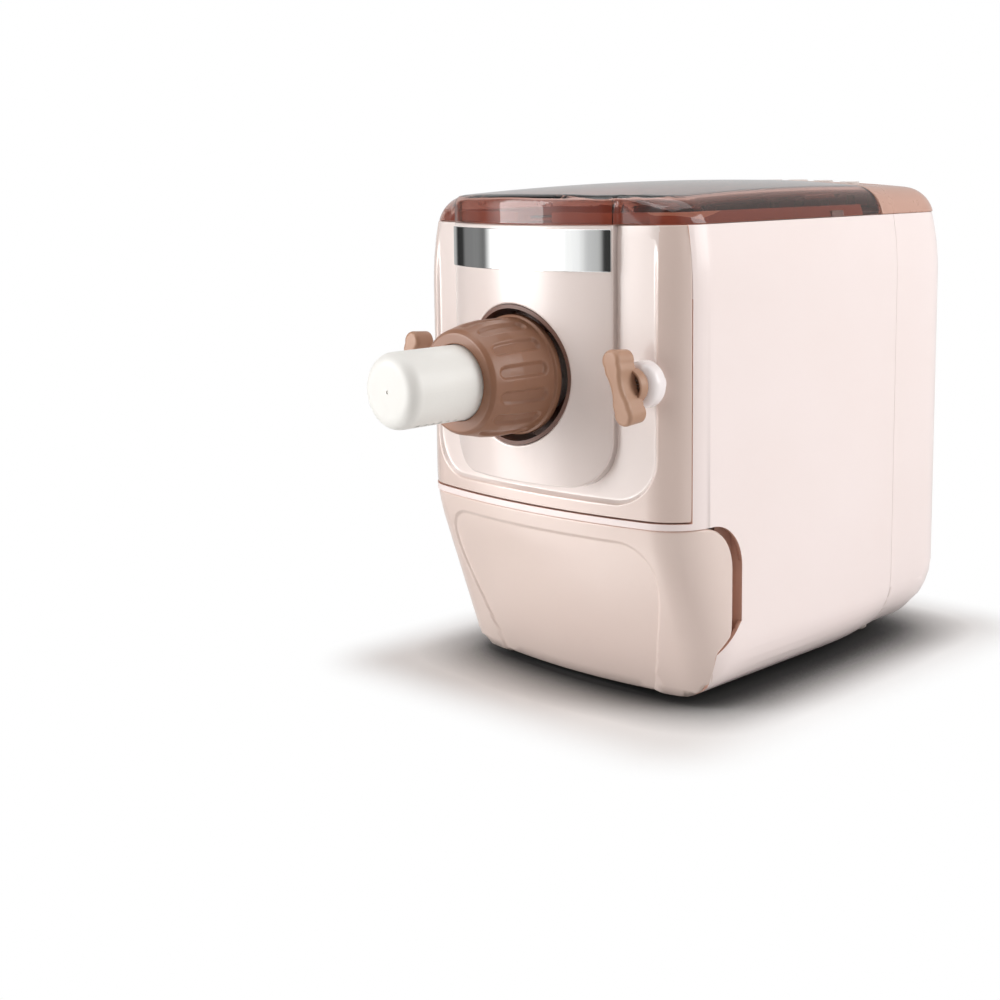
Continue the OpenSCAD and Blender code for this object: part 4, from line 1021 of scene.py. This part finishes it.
def make_lock_nut():
    """The fluted lock nut: a domed front, a crowned grip and a rim at its rear."""
    front = [(3, NUT_BORE_R, 0), (0, NUT_BORE_R, 0.5), (0, 27.4, 1.2), (2.4, 29.4, 2.5), (13, 32.0, 8)]
    rear = [(NUT_L - 4, NUT_RIM_R, 0.8), (NUT_L, NUT_RIM_R, 0.8), (NUT_L, 24.3, 0)]
    edge = rounded_profile(front + [(22, NUT_R, 8), (NUT_L - 5, NUT_R, 0.6)] + rear, 0.4)
    edge = dense(edge, 0.7, closed=False)
    piece = lathe("lock_nut_body", edge, (0.0, NUT_LOW[1], NOZZLE_Z), 392, radius=flute_shape)
    stands_for(piece, "nut_brown", "nut", "lock_nut")


KNOB_TILT = math.radians(-17.0)
KNOB_X = float(np.mean([corner[0] for corner in box_mm("clamp_knob_right")]))
KNOB_END_R, KNOB_END_Z = 6.2, 15.0


def knob_outline():
    """The bar knob from the front: two round ends with a waist between them."""
    waist_half, waist_r, waist_x, meet_z = 12.4, 22.0, 26.0, -2.6
    start = math.asin(meet_z / KNOB_END_R)
    end = [(KNOB_END_R * math.cos(a), KNOB_END_Z + KNOB_END_R * math.sin(a))
           for a in np.linspace(start, math.pi - start, 22)]
    t = np.linspace(waist_half, -waist_half, 22)[1:-1]
    waist = np.stack((-np.minimum(5.7, waist_x - np.sqrt(waist_r ** 2 - t ** 2)), t), 1)
    half_loop = np.concatenate((end, waist))
    return np.concatenate((half_loop, -half_loop))


def make_knob(side):
    """A clamp knob: a tilted bar with a slightly domed face, on a cupped hub."""
    hand = "left" if side < 0 else "right"
    name = "clamp_knob_" + hand
    low, high = box_mm(name)
    knob_x, tilt, depth, dome_h, dome_half = side * KNOB_X, KNOB_TILT * side, 13.0, 0.9, 22

    def surface(uv):
        x, z = uv[:, 0], uv[:, 1]
        dome = dome_h * (1 - (z / dome_half) ** 2)
        return np.stack((knob_x + x * math.cos(tilt) + z * math.sin(tilt), low[1] + dome_h - dome,
                         NOZZLE_Z - x * math.sin(tilt) + z * math.cos(tilt)), 1)
    bar = panel(name + "_bar", [knob_outline()], surface, depth, edge=2.6, step=2.2, fillet_steps=6)
    stands_for(bar, "knob_tan", "knob_" + hand, name)
    cup = [(-1.2, 0.05, 0), (-1.2, 7.4, 1.2), (-5.6, 8.2, 0.4), (-5.6, 9.5, 0.5), (0, 9.9, 0.6), (0, 0.05, 0)]
    hub = lathe(name + "_hub", rounded_profile(cup, 0.3), (knob_x, high[1], NOZZLE_Z), 72, closed=False)
    stands_for(hub, "knob_tan", "knob_" + hand)


def make_bosses():
    """The white bosses behind the knobs. The left one stands for the node that holds both."""
    (_, front_y, _), _ = box_mm("knob_bosses")
    boss_r, collar_r = 13.0, 8.5
    outline = [(0, 4.3, 0), (0, boss_r, 5.6), (11.5, boss_r, 2), (11.5, collar_r, 0.5), (22, collar_r, 0)]
    for side, hand, nodes in ((-1, "left", ["knob_bosses"]), (1, "right", [])):
        place = (side * KNOB_X, front_y, NOZZLE_Z)
        boss = lathe("boss_" + hand, rounded_profile(outline, 0.4), place, 96, closed=False)
        stands_for(boss, "boss_white", "machine", *nodes)


make_body()
make_front_panel()
make_centre_plate()
make_chrome_strip()
make_drawer_front()
make_lid()
make_rear_deck()
make_lock_nut()
make_knob(-1)
make_knob(1)
make_bosses()


# -------- studio
FLOOR_SIZE, FLOOR_ROUGH, FLOOR_GLOSS = 12.0, 0.7, 0.1
# painted shadow: the floor's colour darkens where an occlusion test finds the machine close by
PAINTED_SHADOW_REACH, PAINTED_SHADOW_SAMPLES = 0.045, 8
PAINTED_SHADOW_OCCLUSION, FLOOR_PAINTED_SHADOW_TO_PLAIN = (0.35, 1.0), (0.06, 0.86)
SHADOW_EDGE = (0.003, 0.065)
SOFT_COLOUR, SOFT_LEVEL = (1.0, 0.88, 0.81, 1.0), 0.25
WHITE = (1.0, 1.0, 1.0, 1.0)

# Light levels round the studio for polished faces, by the angle from the front to the right
SURROUNDINGS = [(-180, 0.62), (-108, 0.60), (-101, 0.42), (-98, 0.03), (-90, 0.04), (-86, 0.22), (-72, 0.24),
                (-65, 0.16), (-50, 3.0), (-18, 3.0), (-8, 1.1), (0, 1.0), (5, 0.62), (12, 0.5), (14, 0.04),
                (58, 0.05), (70, 0.5), (95, 0.85), (180, 0.62)]


def sums(tree, operation, first, second):
    """A number worked out from two others."""
    return wired(tree, "Math", {0: first, 1: second}, operation)["Value"]


def mixed(tree, share, first, second):
    """Two shaders mixed by a share."""
    return wired(tree, "MixShader", {"Fac": share, 1: first, 2: second})["Shader"]


def beyond_body(tree):
    """How far a place on the floor lies outside the machine's box, in metres."""
    middle, half = (0.0, (FRONT + REAR) / 2 * MM, 0.0), (HALF * MM, (REAR - FRONT) / 2 * MM, 0.0)
    place = wired(tree, "TexCoord", {})["Object"]
    for operation, operand in (("SUBTRACT", {1: middle}), ("ABSOLUTE", {}), ("SUBTRACT", {1: half}),
                               ("MAXIMUM", {1: (0.0, 0.0, 0.0)})):
        place = wired(tree, "VectorMath", {0: place, **operand}, operation)["Vector"]
    return wired(tree, "VectorMath", {0: place}, "LENGTH")["Value"]


def make_floor():
    """A floor that shows the lamps' shadow near the machine, deepened by painted shadow, and is plain white
    further off.
    """
    bpy.ops.mesh.primitive_plane_add(size=FLOOR_SIZE)
    floor = bpy.context.object
    floor.name = "floor"
    material, tree, bsdf = shader("floor")
    # painted shadow: occlusion darkens the floor's own colour near the machine
    near = wired(tree, "AmbientOcclusion", {"Distance": PAINTED_SHADOW_REACH})["AO"]
    near.node.samples = PAINTED_SHADOW_SAMPLES
    plug(tree, bsdf, {"Base Color": mapped(tree, near, PAINTED_SHADOW_OCCLUSION, FLOOR_PAINTED_SHADOW_TO_PLAIN),
                      "Roughness": FLOOR_ROUGH, "Specular IOR Level": FLOOR_GLOSS})
    ray = wired(tree, "LightPath", {})
    white = wired(tree, "Emission", {})["Emission"]
    clear = wired(tree, "BsdfTransparent", {})["BSDF"]
    far = mixed(tree, ray["Is Glossy Ray"], white, clear)
    fade = mapped(tree, beyond_body(tree), SHADOW_EDGE, (0.0, 1.0))
    fade.node.interpolation_type = "SMOOTHSTEP"
    seen = sums(tree, "MAXIMUM", ray["Is Camera Ray"], ray["Is Glossy Ray"])
    whole = mixed(tree, sums(tree, "MULTIPLY", fade, seen), bsdf.outputs["BSDF"], far)
    plug(tree, tree.nodes["Material Output"], {"Surface": whole})
    floor.data.materials.append(material)


def surroundings(tree):
    """Light and dark parts of the studio, by their direction from the machine."""
    parts = wired(tree, "SeparateXYZ", {"Vector": wired(tree, "TexCoord", {})["Generated"]})
    angle = sums(tree, "ARCTAN2", parts["X"], sums(tree, "MULTIPLY", parts["Y"], -1.0))
    stops = [((degrees + 180) / 360, (level, level, level, 1.0)) for degrees, level in SURROUNDINGS]
    colour = ramp(tree, mapped(tree, angle, (-math.pi, math.pi), (0.0, 1.0)), stops)
    return wired(tree, "Background", {"Color": colour})["Background"]


def make_world():
    """White behind the machine, soft light on it, and light and dark parts for polished faces."""
    world = bpy.data.worlds.new("studio")
    bpy.context.scene.world = world
    world.use_nodes = True
    tree = world.node_tree
    soft = tree.nodes["Background"]
    plug(tree, soft, {"Color": SOFT_COLOUR, "Strength": SOFT_LEVEL})
    white = wired(tree, "Background", {"Color": WHITE, "Strength": 1.0})["Background"]
    ray = wired(tree, "LightPath", {})
    light = mixed(tree, ray["Is Glossy Ray"], soft.outputs["Background"], surroundings(tree))
    seen = sums(tree, "MAXIMUM", ray["Is Camera Ray"], ray["Is Transmission Ray"])
    plug(tree, tree.nodes["World Output"], {"Surface": mixed(tree, seen, light, white)})


def soft_box(name, place, aim, width, height, power):
    """A soft lamp in metres and watts, which glass doesn't show."""
    data = bpy.data.lights.new(name, "AREA")
    data.shape = "RECTANGLE"
    data.size = width
    data.size_y = height
    data.energy = power
    lamp = bpy.data.objects.new(name, data)
    lamp.location = place
    lamp.rotation_euler = (Vector(aim) - Vector(place)).to_track_quat("-Z", "Y").to_euler()
    lamp.visible_transmission = False
    bpy.context.collection.objects.link(lamp)


make_floor()
make_world()
soft_box("right_box", (1.45, 0.68, 0.9), (0.0, 0.05, 0.15), 1.0, 1.2, 18.0)
soft_box("front_box", (-0.95, -1.4, 0.6), (0.0, -0.1, 0.18), 0.95, 1.1, 20.0)
soft_box("top_box", (0.0, 0.1, 1.7), (0.0, 0.0, 0.2), 1.2, 1.2, 8.0)
bpy.context.scene.view_settings.view_transform = "Standard"
